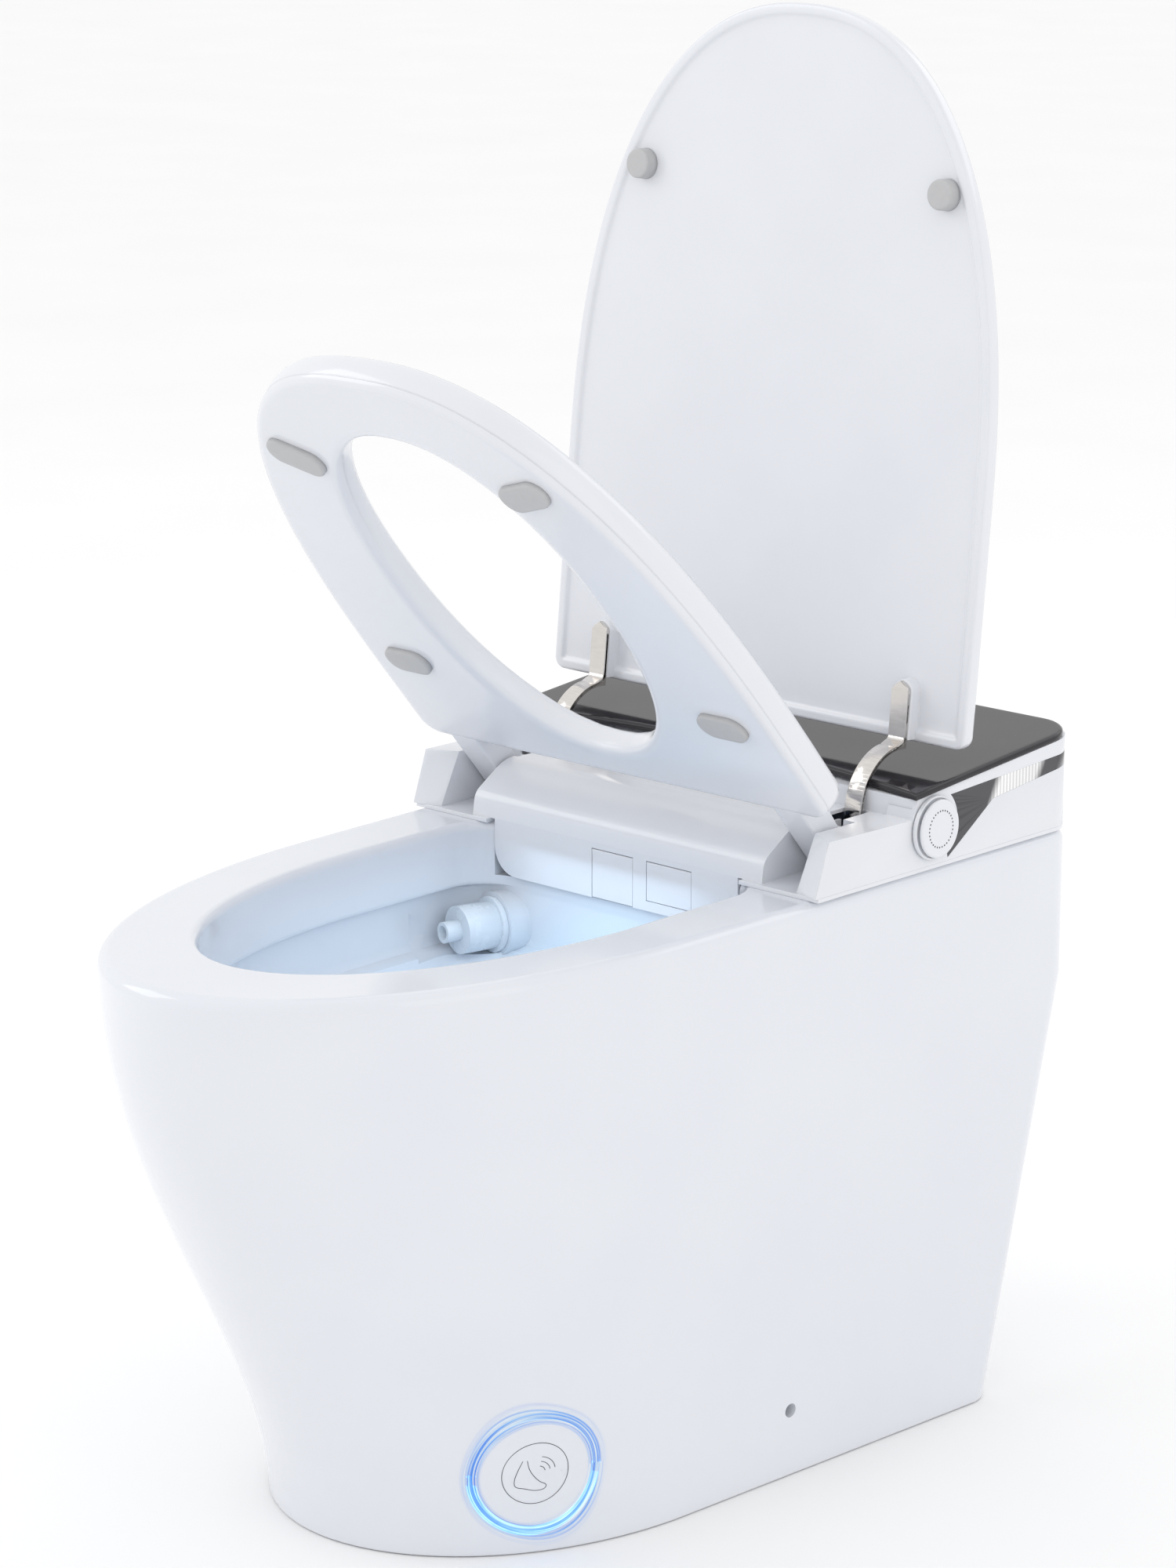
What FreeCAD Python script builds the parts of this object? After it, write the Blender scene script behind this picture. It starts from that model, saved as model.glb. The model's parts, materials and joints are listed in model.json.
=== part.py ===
"""One-piece electric bidet toilet: ceramic pedestal, seat unit, raised seat and open lid.

Frame: origin at the centre of the waste outlet on the floor, +Z up, the user faces -Y,
the wall is at +Y and +X is the side with the control knob. Millimetres.
The lid and the seat are drawn closed, then swung about their hinge axes to the rest pose.
"""
import FreeCAD
import Part
import math
import os
import re
import Sketcher

V = FreeCAD.Vector
doc = FreeCAD.newDocument("bidet_toilet")
sheet = doc.addObject("Spreadsheet::Sheet", "dims")

DIMENSIONS = {
    # pedestal: plan at the rim and at the floor
    "rim_z": 410, "rim_half": 181.5, "rim_length": 320, "rim_centre_y": -90, "rim_rear_half": 190,
    "rim_rear_y": 290, "foot_half": 156.5, "foot_length": 207, "foot_centre_y": -60,
    "foot_rear_half": 177, "foot_rear_y": 230, "corner_radius": 25, "lean_start_z": 305,
    "wall": 12, "rim_edge_radius": 9,
    # bowl opening and the flush channel under the rim
    "bowl_half": 128, "bowl_length": 237, "bowl_centre_y": -100, "bowl_rear_y": 24,
    "bowl_corner": 32, "channel_top_z": 365, "channel_floor_z": 322, "channel_undercut": 12,
    # waste way
    "trap_radius": 26, "outlet_radius": 45, "outlet_depth": 46, "outlet_wall": 12,
    # equipment bay at the rear
    "bay_half": 165, "bay_front_y": 52, "bay_rear_y": 270, "bay_floor_z": 290,
    "skirt_half": 112, "skirt_front_y": 18, "skirt_bottom_z": 374, "skirt_wall": 3,
    # side fixing holes and the foot sensor
    "fixing_y": 16.6, "fixing_z": 48.5, "fixing_radius": 5, "fixing_face_x": 165, "sensor_x": 125.8, "sensor_z": 58.5,
    "window_radius": 23, "ring_inner": 39, "ring_outer": 46,
    # seat unit
    "plate_thick": 3, "unit_half_front": 185, "unit_half_rear": 190, "unit_front_y": 14,
    "wing_inner": 163.5, "shell": 2.5, "block_half": 133, "deck_z": 447, "glass_front_z": 461,
    "glass_rise": 16, "glass_thick": 5, "glass_front_y": 110, "glass_bow": 20,
    "niche_rear_y": 82.5, "slot_inner": 129.5, "slot_outer": 149,
    # control knob
    "knob_y": 130, "knob_z": 439.4, "bezel_radius": 22, "trim_clear_radius": 27, "knob_radius": 20, "knob_gap": 0.4,
    # lid
    "lid_axis_y": 147, "lid_axis_z": 444, "lid_open": 95.75, "lid_half": 188.5, "lid_rear_y": 107,
    "lid_straight": 170, "lid_nose": 320, "lid_power": 2.3, "lid_rim_z": 453, "lid_top_z": 466,
    "lid_recess": 2.5, "lid_lip": 8, "arm_x": 138, "arm_width": 14, "arm_radius": 40,
    "arm_thick": 3, "arm_sweep": 115.75, "hub_radius": 8, "pin_radius": 4, "running_gap": 0.06,
    "bumper_radius": 10.5, "bumper_height": 10, "lid_bumper_x": 135, "lid_bumper_reach": 371,
    # seat
    "seat_axis_y": 71, "seat_axis_z": 424, "seat_raised": 49.5, "seat_half": 186,
    "seat_centre_y": -45, "seat_nose": 338, "seat_power": 2.45, "seat_rear_y": 14,
    "seat_under_z": 414.2, "seat_top_z": 440.5, "seat_wall": 3, "hole_half": 97,
    "hole_centre_y": -172, "hole_length": 156, "lug_inner": 136, "lug_outer": 160.5,
    "lug_radius": 9.5, "pad_height": 3.8,
    # wash wand
    "wand_slope": 22, "wand_x": -1, "wand_tip_y": 56.2, "wand_tip_z": 406.1, "wand_radius": 7,
    "wand_length": 110, "door_left": -20, "door_right": 18, "door_top_z": 409, "flap_left": 30,
    "flap_right": 71, "flap_bottom_z": 381, "door_thick": 2, "door_gap": 0.5,
    "hung_y": 19.2, "hung_z": 407.5, "hung_pin": 0.8,
    # dryer
    "blower_x": 52, "blower_y": 105, "blower_z": 371, "blower_radius": 31, "blower_width": 36,
}
for row, (alias, value) in enumerate(DIMENSIONS.items(), start=1):
    sheet.set(f"A{row}", alias)
    sheet.set(f"B{row}", str(value))
    sheet.setAlias(f"B{row}", alias)
doc.recompute()

parts = []          # the sub-parts that are written out, in order


def size(alias):
    """Value of one driving dimension."""
    return float(sheet.get(alias))


def bind(thing, prop, formula):
    """Bind a property to a formula in words of the sheet."""
    words = re.sub(r"[a-z][a-z_0-9]*",
                   lambda m: f"dims.{m.group(0)}" if m.group(0) in DIMENSIONS else m.group(0),
                   str(formula))
    thing.setExpression(prop, words)


def place(thing, x=0, y=0, z=0):
    for letter, formula in zip("xyz", (x, y, z)):
        bind(thing, f"Placement.Base.{letter}", formula)


def keep(thing, label):
    """Mark an object as a sub-part of the model."""
    thing.Label = label
    parts.append(thing)
    return thing


# ------------------------------------------------------------------ shape helpers
def box(name, x, y, z):
    """Box between pairs of formulas."""
    thing = doc.addObject("Part::Box", name)
    for prop, (low, high) in zip(("Length", "Width", "Height"), (x, y, z)):
        bind(thing, prop, f"({high}) - ({low})")
    place(thing, x[0], y[0], z[0])
    return thing


AXIS_TURN = {"X": FreeCAD.Rotation(V(0, 1, 0), 90), "Y": FreeCAD.Rotation(V(1, 0, 0), -90),
             "Z": FreeCAD.Rotation()}


def cylinder(name, axis, radius, start, length):
    """Cylinder from a start point (three formulas) along +X, +Y or +Z."""
    thing = doc.addObject("Part::Cylinder", name)
    bind(thing, "Radius", radius)
    bind(thing, "Height", length)
    thing.Placement = FreeCAD.Placement(V(0, 0, 0), AXIS_TURN[axis])
    place(thing, *start)
    return thing


def cut(name, base, *tools):
    """Base minus every tool."""
    for number, tool in enumerate(tools, start=1):
        result = doc.addObject("Part::Cut", f"{name}_{number}")
        result.Base = base
        result.Tool = tool
        base = result
    return base


def fuse(name, *shapes):
    thing = doc.addObject("Part::MultiFuse", name)
    thing.Shapes = list(shapes)
    return thing


def common(name, *shapes):
    thing = doc.addObject("Part::MultiCommon", name)
    thing.Shapes = list(shapes)
    return thing


def group(name, shapes):
    """Separate solids that share one node."""
    thing = doc.addObject("Part::Compound", name)
    thing.Links = list(shapes)
    return thing


def feature(name, shape):
    """Free-form shape made with Part's own functions."""
    thing = doc.addObject("Part::Feature", name)
    thing.Shape = shape
    return thing


def swing(thing, axis_y, axis_z, angle):
    """Turn a thing that is drawn closed up to its rest pose, about an axis along X."""
    thing.Placement = FreeCAD.Placement(V(0, 0, 0), FreeCAD.Rotation(V(-1, 0, 0), 1))
    bind(thing, "Placement.Rotation.Angle", f"{angle} * 1 deg")
    turn = f"({angle} * 1 deg)"
    bind(thing, "Placement.Base.y",
         f"{axis_y} - {axis_y} * cos{turn} - {axis_z} * sin{turn}")
    bind(thing, "Placement.Base.z",
         f"{axis_z} + {axis_y} * sin{turn} - {axis_z} * cos{turn}")
    return thing


def origin_plane(body, role):
    return next(f for f in body.Origin.OriginFeatures if f.Role == role)


def profile(name, role, points, low, high):
    """Body padded from a straight-sided sketch; every corner is bound to the sheet.

    role is the origin plane, points are pairs of formulas in that plane, and the pad runs
    from low to high along the plane's normal.
    """
    body = doc.addObject("PartDesign::Body", name)
    sketch = body.newObject("Sketcher::SketchObject", f"{name}_sketch")
    sketch.AttachmentSupport = (origin_plane(body, role), [""])
    sketch.MapMode = "FlatFace"
    bind(sketch, "AttachmentOffset.Base.z", low)
    values = [[evaluate(u), evaluate(v)] for u, v in points]
    count = len(points)
    for i in range(count):
        (u0, v0), (u1, v1) = values[i], values[(i + 1) % count]
        sketch.addGeometry(Part.LineSegment(V(u0, v0, 0), V(u1, v1, 0)), False)
    for i in range(count):
        sketch.addConstraint(Sketcher.Constraint("Coincident", i, 2, (i + 1) % count, 1))
    for i, (u, v) in enumerate(points):
        for kind, formula, value in zip(("DistanceX", "DistanceY"), (u, v), values[i]):
            index = sketch.addConstraint(Sketcher.Constraint(kind, -1, 1, i, 1, value))
            bind(sketch, f"Constraints[{index}]", formula)
    pad = body.newObject("PartDesign::Pad", f"{name}_pad")
    pad.Profile = sketch
    bind(pad, "Length", f"({high}) - ({low})")
    doc.recompute()
    return body


def evaluate(formula):
    """Number that a formula in words of the sheet stands for."""
    probe = doc.getObject("probe") or doc.addObject("App::FeaturePython", "probe")
    if "number" not in probe.PropertiesList:
        probe.addProperty("App::PropertyFloat", "number")
    bind(probe, "number", formula)
    probe.recompute()
    return probe.number


def round_edges(body, radius, pick):
    """Fillet the edges of a body's tip whose middle point and direction satisfy pick."""
    tip = body.Tip
    names = []
    for number, edge in enumerate(tip.Shape.Edges, start=1):
        middle = edge.valueAt((edge.FirstParameter + edge.LastParameter) / 2)
        along = edge.tangentAt((edge.FirstParameter + edge.LastParameter) / 2)
        if pick(middle, along):
            names.append(f"Edge{number}")
    fillet = body.newObject("PartDesign::Fillet", f"{body.Name}_fillet")
    fillet.Base = (tip, names)
    bind(fillet, "Radius", radius)
    doc.recompute()
    return body


def blend(low, high, part):
    return low + (high - low) * part


def spline(points, start_tangent, end_tangent):
    curve = Part.BSplineCurve()
    curve.interpolate(Points=points, InitialTangent=start_tangent, FinalTangent=end_tangent)
    return curve.toShape()


def rounded_plan(half, centre_y, length, rear_half, rear_y, corner, z, power=2.0, count=24):
    """Plan outline: curved nose towards -Y, straight sides, straight rear with round corners."""
    slope = 0.0
    for _ in range(30):
        turn = math.atan(slope * length / half) if power == 2.0 else 0.0
        start = V(half * math.cos(turn), centre_y - length * math.sin(turn), z)
        slope = (rear_half - start.x) / (rear_y - corner - start.y)
    arc = []
    for i in range(count + 1):
        angle = turn + (math.pi - 2 * turn) * i / count
        cosine, sine = math.cos(angle), math.sin(angle)
        x = half * math.copysign(abs(cosine) ** (2 / power), cosine)
        arc.append(V(x, centre_y - length * abs(sine) ** (2 / power), z))
    scale = math.hypot(1, slope)
    centre = V(rear_half - corner * scale, rear_y - corner, z)
    touch = centre + V(corner / scale, -corner * slope / scale, 0)
    heading = math.atan2(touch.y - centre.y, touch.x - centre.x)
    middle_angle = (heading + math.pi / 2) / 2
    middle = centre + V(corner * math.cos(middle_angle), corner * math.sin(middle_angle), 0)
    rear = centre + V(0, corner, 0)

    def flip(point):
        return V(-point.x, point.y, point.z)

    side = V(-slope, -1, 0)
    edges = [
        spline(arc, side, V(-slope, 1, 0)),
        Part.LineSegment(arc[-1], flip(touch)).toShape(),
        Part.Arc(flip(touch), flip(middle), flip(rear)).toShape(),
        Part.LineSegment(flip(rear), rear).toShape(),
        Part.Arc(rear, middle, touch).toShape(),
        Part.LineSegment(touch, arc[0]).toShape(),
    ]
    return Part.Wire(edges)


def extrude(wire, height):
    return Part.Face(wire).extrude(V(0, 0, height))


# ------------------------------------------------------------------ pedestal
def front_ease(z):
    """Share of the way from rim plan (0) to floor plan (1): the flank is a long soft S."""
    height = min(max(z, 0) / size("rim_z"), 1)
    return (1 + math.cos(math.pi * height ** 0.87)) / 2


def pedestal_plan(z, inset=0.0):
    """Outer plan of the pedestal at a height, moved inwards by inset."""
    ease = front_ease(z)
    lean = max(0.0, (size("lean_start_z") - z) / size("lean_start_z"))
    return rounded_plan(
        blend(size("rim_half"), size("foot_half"), ease) - inset,
        blend(size("rim_centre_y"), size("foot_centre_y"), ease),
        blend(size("rim_length"), size("foot_length"), ease) - inset,
        blend(size("rim_rear_half"), size("foot_rear_half"), lean) - inset,
        blend(size("rim_rear_y"), size("foot_rear_y"), lean) - inset,
        max(size("corner_radius") - inset, 10), z)


def pedestal_solid(heights_low, heights_high, inset=0.0):
    lower = Part.makeLoft([pedestal_plan(z, inset) for z in heights_low], True)
    upper = Part.makeLoft([pedestal_plan(z, inset) for z in heights_high], True)
    return lower.fuse(upper).removeSplitter()


def bowl_level(half, length, centre_y, rear_y, corner, z, grow):
    return rounded_plan(half + grow, centre_y, length + grow, half + grow, rear_y + grow,
                        corner + grow, z)


def bowl_space(grow=0.0):
    """Space inside the bowl; grow adds the wall that surrounds it."""
    half, length = size("bowl_half"), size("bowl_length")
    centre_y, rear_y, corner = size("bowl_centre_y"), size("bowl_rear_y"), size("bowl_corner")
    top, bottom = size("channel_top_z"), size("channel_floor_z")
    under = size("channel_undercut")
    mouth = extrude(bowl_level(half, length, centre_y, rear_y, corner, top - 5, grow),
                    size("rim_z") - top + 10)
    channel_plan = bowl_level(half + under, length + under, centre_y, rear_y + 1, corner,
                              bottom - grow, grow)
    channel = extrude(channel_plan, top - bottom + 2 * grow)
    funnel = Part.makeLoft([
        bowl_level(half - 2, length - 7, centre_y, rear_y - 6, 60, bottom + 1, grow),
        bowl_level(half - 26, length - 55, centre_y + 10, rear_y - 30, 70, 250, grow),
        bowl_level(66, 105, -75, -5, 50, 185, grow),
        bowl_level(40, 50, -62, -20, 30, 140 - grow, grow)], True)
    return mouth.fuse(channel).fuse(funnel)


def trapway(radius):
    """Waste way: out of the sump, up over the weir, down and forward to the outlet."""
    route = [V(0, -60, 165), V(0, 15, 160), V(0, 100, 225), V(0, 165, 165), V(0, 120, 85),
             V(0, 0, 62), V(0, 0, 2)]
    bend = 40
    edges = []
    start = route[0]
    for before, corner, after in zip(route, route[1:], route[2:]):
        into = (corner - before).normalize()
        out = (after - corner).normalize()
        turn = into.getAngle(out)
        reach = bend * math.tan(turn / 2)
        entry, leave = corner - into * reach, corner + out * reach
        inward = (out - into).normalize()
        centre = corner + inward * (bend / math.cos(turn / 2))
        edges.append(Part.LineSegment(start, entry).toShape())
        edges.append(Part.Arc(entry, centre - inward * bend, leave).toShape())
        start = leave
    edges.append(Part.LineSegment(start, route[-1]).toShape())
    ring = Part.Wire(Part.Circle(route[0], V(0, 1, 0), radius).toShape())
    return Part.Wire(edges).makePipeShell([ring], True, False)


def sensor_frame():
    """Point on the flank for the foot sensor and its outward normal."""
    z, x = size("sensor_z"), size("sensor_x")

    def flank(height, across):
        ease = front_ease(height)
        half = blend(size("rim_half"), size("foot_half"), ease)
        length = blend(size("rim_length"), size("foot_length"), ease)
        centre = blend(size("rim_centre_y"), size("foot_centre_y"), ease)
        return V(across, centre - length * math.sqrt(1 - (across / half) ** 2), height)

    point = flank(z, x)
    across = flank(z, x + 1) - flank(z, x - 1)
    upward = flank(z + 1, x) - flank(z - 1, x)
    return point, across.cross(upward).normalize()


LOW_LEVELS = (0, 60, 136, 226, 305)
HIGH_LEVELS = (305, 340, 375, 410)
outer = pedestal_solid(LOW_LEVELS, HIGH_LEVELS)
rim_edges = [e for e in outer.Edges
             if e.BoundBox.ZMin > size("rim_z") - 0.01]
rounded_outer = outer.makeFillet(size("rim_edge_radius"), rim_edges)

cavity = pedestal_solid((-1, 60, 136, 226, 305), (305, 340, 375, 398), size("wall"))
solid_zones = [
    bowl_space(size("wall")),
    trapway(size("trap_radius") + 10),
    Part.makeBox(420, 280, 200, V(-210, size("bay_front_y") - 14, size("bay_floor_z") - 12)),
    Part.makeBox(420, 60, 60, V(-210, 0, 372)),
    Part.makeCylinder(size("outlet_radius") + size("outlet_wall"), 90, V(0, 0, -2)),
]


def fixing_round(side, radius, start, end):
    """Round along a side fixing, square to the flank's lean, between depths behind its face."""
    lean = (size("rim_rear_half") - size("foot_rear_half")) / size("lean_start_z")
    inward = V(-side, 0, lean).normalize()
    mouth = V(side * size("fixing_face_x"), size("fixing_y"), size("fixing_z"))
    return Part.makeCylinder(radius, end - start, mouth + inward * start, inward)


for side in (-1, 1):
    solid_zones.append(fixing_round(side, 14, -15, 24))
for zone in solid_zones:
    cavity = cavity.cut(zone)

window_point, window_normal = sensor_frame()
bay = Part.makeBox(2 * size("bay_half"), size("bay_rear_y") - size("bay_front_y"), 140,
                   V(-size("bay_half"), size("bay_front_y"), size("bay_floor_z")))
bay = bay.makeFillet(14, [e for e in bay.Edges if e.BoundBox.ZLength > 100])
notch = Part.makeBox(2 * size("skirt_half") + 2, 47, 60, V(-size("skirt_half") - 1, 18, 372))
holes = [
    bowl_space(), bay, notch, trapway(size("trap_radius")),
    Part.makeCylinder(size("outlet_radius"), size("outlet_depth"), V(0, 0, -1)),
    Part.makeCylinder(24, 60, window_point - window_normal * 40, window_normal),
    Part.makeBox(60, 40, 60, V(-150, 262, 300)),
    Part.makeCylinder(11.1, 40, V(120, 262, 335), V(0, 1, 0)),
]
for side in (-1, 1):
    holes.append(fixing_round(side, size("fixing_radius"), -15, 35))
    for y in (120, 190, 255):
        holes.append(Part.makeCylinder(3, 24, V(side * 176, y, size("rim_z") - 22)))

SPOUT_CENTRE = V(-115, -7, 338)
SPOUT_AXIS = V(-0.25, -0.97, 0).normalize()


def spout_piece(radius, start, end):
    """Round piece on the spout's axis, between two distances from its centre."""
    return Part.makeCylinder(radius, end - start, SPOUT_CENTRE + SPOUT_AXIS * start, SPOUT_AXIS)


holes[0] = holes[0].cut(spout_piece(23, -60, -22))
holes.append(spout_piece(11, -80, -20))
holes.append(spout_piece(20.1, -22, 30))
ring_groove = Part.makeCylinder(size("ring_outer"), 30, window_point - window_normal * 12,
                                window_normal)
ring_groove = ring_groove.cut(Part.makeCylinder(size("ring_inner"), 40,
                                                window_point - window_normal * 15,
                                                window_normal))
skin = outer.cut(pedestal_solid(LOW_LEVELS, HIGH_LEVELS, 3.0))
holes.append(ring_groove.common(skin))
ceramic = rounded_outer.cut(cavity)
for hole in holes:
    ceramic = ceramic.cut(hole)
keep(feature("ceramic", ceramic), "ceramic_pedestal")

window = Part.makeCylinder(size("window_radius"), 30, window_point - window_normal * 12,
                           window_normal)
keep(feature("window", window.common(skin)), "foot_sensor_window")
keep(feature("light_ring", ring_groove.common(skin)), "sensor_light_ring")
module = Part.makeCylinder(size("window_radius") - 2, 22, window_point - window_normal * 30,
                           window_normal)
keep(feature("module", module), "foot_sensor_module")

keep(feature("spout_body", spout_piece(17, -18, 8).fuse(spout_piece(11, -58, -22))
             .fuse(spout_piece(14, -22, -18)).removeSplitter()), "flush_spout_body")
flange = spout_piece(20, -22, -18).cut(spout_piece(14, -30, -10))
keep(feature("spout_flange", flange), "flush_spout_flange")
tip = spout_piece(7.5, 8, 20).cut(spout_piece(5, 9, 30))
keep(feature("spout_tip", tip), "flush_spout_tip")

gasket = cut("gasket",
             cylinder("gasket_outer", "Z", "outlet_radius + outlet_wall + 9", (0, 0, 0), 12),
             cylinder("gasket_inner", "Z", "outlet_radius + outlet_wall", (0, 0, -1), 14))
keep(gasket, "outlet_gasket")

brackets = []
for side, tag in ((-1, "right"), (1, "left")):
    low, high = sorted((side * 139.7, side * 135.7))
    upright = box(f"bracket_{tag}_up", (low, high), ("fixing_y - 20", "fixing_y + 20"), (0, 66))
    low, high = sorted((side * 137, side * 100))
    sole = box(f"bracket_{tag}_sole", (low, high), ("fixing_y - 20", "fixing_y + 20"), (0, 4))
    bore = cylinder(f"bracket_{tag}_bore", "X", "fixing_radius - 1", (side * 137 - 10,
                    "fixing_y", "fixing_z + 1.2"), 20)
    bolt = cylinder(f"bracket_{tag}_bolt", "Z", 4, (side * 117, "fixing_y", -1), 8)
    brackets.append(cut(f"bracket_{tag}", fuse(f"bracket_{tag}_l", upright, sole), bore, bolt))
keep(group("brackets", brackets), "floor_brackets")


# ------------------------------------------------------------------ seat unit: shells
def unit_plan(name, low, high, inset=0):
    """Block with the unit's plan: slightly wider at the rear, with round rear corners."""
    front, rear = f"unit_half_front - {inset}", f"unit_half_rear - {inset}"
    body = profile(name, "XY_Plane",
                   [(f"-({front})", "unit_front_y - 8"), (front, "unit_front_y - 8"),
                    (rear, f"rim_rear_y - {inset}"), (f"-({rear})", f"rim_rear_y - {inset}")],
                   low, high)
    return round_edges(body, f"corner_radius - {inset}",
                       lambda at, along: abs(along.z) > 0.9 and at.y > 200)


def tilted_slab(name, low, high):
    """Slab that follows the glass's slope, with faces low and high above its underside."""
    run = "(rim_rear_y - glass_front_y)"
    points = [("glass_front_y - 30", f"glass_front_z + {low} - 30 * glass_rise / {run}"),
              ("rim_rear_y + 10", f"glass_front_z + {low} + glass_rise + 10 * glass_rise / {run}"),
              ("rim_rear_y + 10",
               f"glass_front_z + {high} + glass_rise + 10 * glass_rise / {run}"),
              ("glass_front_y - 30", f"glass_front_z + {high} - 30 * glass_rise / {run}")]
    return profile(name, "YZ_Plane", points, -200, 200)


SIDE_OUTLINE = [(8, "rim_z + plate_thick"), (8, 450), ("glass_front_y", 448),
                ("glass_front_y + 4", "glass_front_z + 0.3"),
                ("rim_rear_y + 1", "glass_front_z + glass_rise"),
                ("rim_rear_y + 1", "rim_z + plate_thick")]

base_plate = profile("plate", "XY_Plane",
                     [("-unit_half_front", "unit_front_y"), ("unit_half_front", "unit_front_y"),
                      ("unit_half_rear", "rim_rear_y"), ("-unit_half_rear", "rim_rear_y")],
                     "rim_z", "rim_z + plate_thick")
round_edges(base_plate, "corner_radius", lambda at, along: abs(along.z) > 0.9 and at.y > 200)
plate_window = box("plate_window", ("-116", "116"), (10, 262), ("rim_z - 1", "rim_z + 8"))
plate_tools = [plate_window]
for side, tag in ((-1, "right"), (1, "left")):
    low, high = sorted((side * 128.5, side * 147.5))
    plate_tools.append(box(f"plate_slot_{tag}", (low, high), (100, 192),
                           ("rim_z - 1", "rim_z + 8")))
screws = []
for side in (-1, 1):
    for y in (120, 190, 255):
        tag = f"{'left' if side > 0 else 'right'}_{y}"
        plate_tools.append(cylinder(f"screw_hole_{tag}", "Z", 3, (side * 176, y, "rim_z - 1"), 8))
        head = cylinder(f"screw_head_{tag}", "Z", 5, (side * 176, y, "rim_z + plate_thick"), 3)
        stem = cylinder(f"screw_stem_{tag}", "Z", 2.9, (side * 176, y, "rim_z - 18"), 23)
        screws.append(fuse(f"screw_{tag}", head, stem))
keep(cut("base_plate", base_plate, *plate_tools), "unit_base_plate")
keep(group("screws", screws), "unit_fixing_screws")

wing_fronts = []
for side, tag in ((-1, "right"), (1, "left")):
    sections = []
    for across, foot_y, rise in ((160, 18.4, 0.527), (192, 9.1, 0.311)):
        x = side * across
        outline = [V(x, -20, 405), V(x, foot_y - 8 * rise, 405), V(x, foot_y + 47 * rise, 460),
                   V(x, -20, 460)]
        sections.append(Part.makePolygon(outline + outline[:1]))
    wing_fronts.append(feature(f"wing_front_{tag}", Part.makeLoft(sections, True, True)))
side_prism = profile("side_prism", "YZ_Plane", SIDE_OUTLINE, -200, 200)
side_block = common("side_block", side_prism, unit_plan("cover_plan", 405, 490))
side_room = unit_plan("cover_room", 400, 495, 3)
rear_room = common("rear_room", side_room, box("rear_room_box", (-200, 200), (112, 300),
                                                 (400, 500)))
middle_room = box("middle_room", ("-wing_inner", "wing_inner"), (0, 114), (400, 500))
wing_rooms = []
for side, tag in ((-1, "right"), (1, "left")):
    low, high = sorted((f"{side} * (wing_inner + shell)", f"{side} * 182.5"),
                       key=evaluate)
    wing_rooms.append(box(f"wing_room_{tag}", (low, high), (42, 113), (400, 445)))

TRIM_OUTLINE = [(140, 458), (139, 448), (147, 415), (195, 447), (278, 456), (278, 465)]
knob_clear = cylinder("knob_clear", "X", "trim_clear_radius", (-300, "knob_y", "knob_z"), 600)
trim_prism = profile("trim_prism", "YZ_Plane", TRIM_OUTLINE, -200, 200)
trim_band = cut("trim_band", cut("trim_shape", trim_prism, knob_clear),
                unit_plan("trim_plan_inner", 400, 495, 1.5))
trim_outer = unit_plan("trim_plan_outer", 405, 490)
trims = []
for side, tag in ((-1, "right"), (1, "left")):
    low, high = sorted((side * 150, side * 200))
    half_space = box(f"trim_side_{tag}", (low, high), (100, 300), (400, 500))
    trims.append(common(f"trim_{tag}", trim_band, trim_outer, half_space))
    keep(trims[-1], f"side_trim_{tag}")
knob_bore = cylinder("knob_bore", "X", "10", (160, "knob_y", "knob_z"), 60)
seat_bore = cylinder("wing_pin_bore", "X", "pin_radius + running_gap",
                     (-168, "seat_axis_y", "seat_axis_z"), 336)
keep(cut("side_cover", side_block, *wing_fronts, middle_room, rear_room, *wing_rooms, *trims, knob_bore,
         seat_bore), "side_cover")

DECK_OUTLINE = [("skirt_front_y", "rim_z + plate_thick"), (20, 428), (49, 446), (60, "deck_z"),
                (112, "deck_z"), (113, "glass_front_z"), (115.5, "glass_front_z"),
                (115.5, "rim_z + plate_thick")]
DECK_ROOM = [(20.5, 400), (22.6, 426.6), (50, 443.4), (60, "deck_z - shell"),
             (110, "deck_z - shell"), (110, 443), (117, 443), (117, 400)]
block = profile("block", "YZ_Plane", DECK_OUTLINE, "-block_half", "block_half")
block_room = profile("block_room", "YZ_Plane", DECK_ROOM, "-(block_half - shell)",
                     "block_half - shell")
decks = []
for side, tag in ((-1, "right"), (1, "left")):
    low, high = sorted((f"{side} * (block_half - 1)", f"{side} * (wing_inner - 0.3)"),
                       key=evaluate)
    solid = profile(f"deck_{tag}", "YZ_Plane",
                    [("niche_rear_y", 413), ("niche_rear_y", "deck_z"), (112, "deck_z"),
                     (113, "glass_front_z"), (115.5, "glass_front_z"), (115.5, "deck_z - shell"),
                     ("niche_rear_y + shell", "deck_z - shell"), ("niche_rear_y + shell", 413)],
                    low, high)
    decks.append(solid)
arm_slots = []
for side, tag in ((-1, "right"), (1, "left")):
    low, high = sorted((f"{side} * slot_inner", f"{side} * slot_outer"), key=evaluate)
    arm_slots.append(box(f"pad_slot_{tag}", (low, high), (60, 120), (441, 470)))
    arm_slots.append(box(f"arm_slot_{tag}", (low, high), (102, 120), (400, 470)))
pin_room = cylinder("pin_room", "X", "pin_radius + running_gap",
                    (-168, "seat_axis_y", "seat_axis_z"), 336)
keep(cut("deck", fuse("deck_shell", cut("block_shell", block, block_room), *decks),
         *arm_slots, pin_room), "deck_panel")

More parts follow.
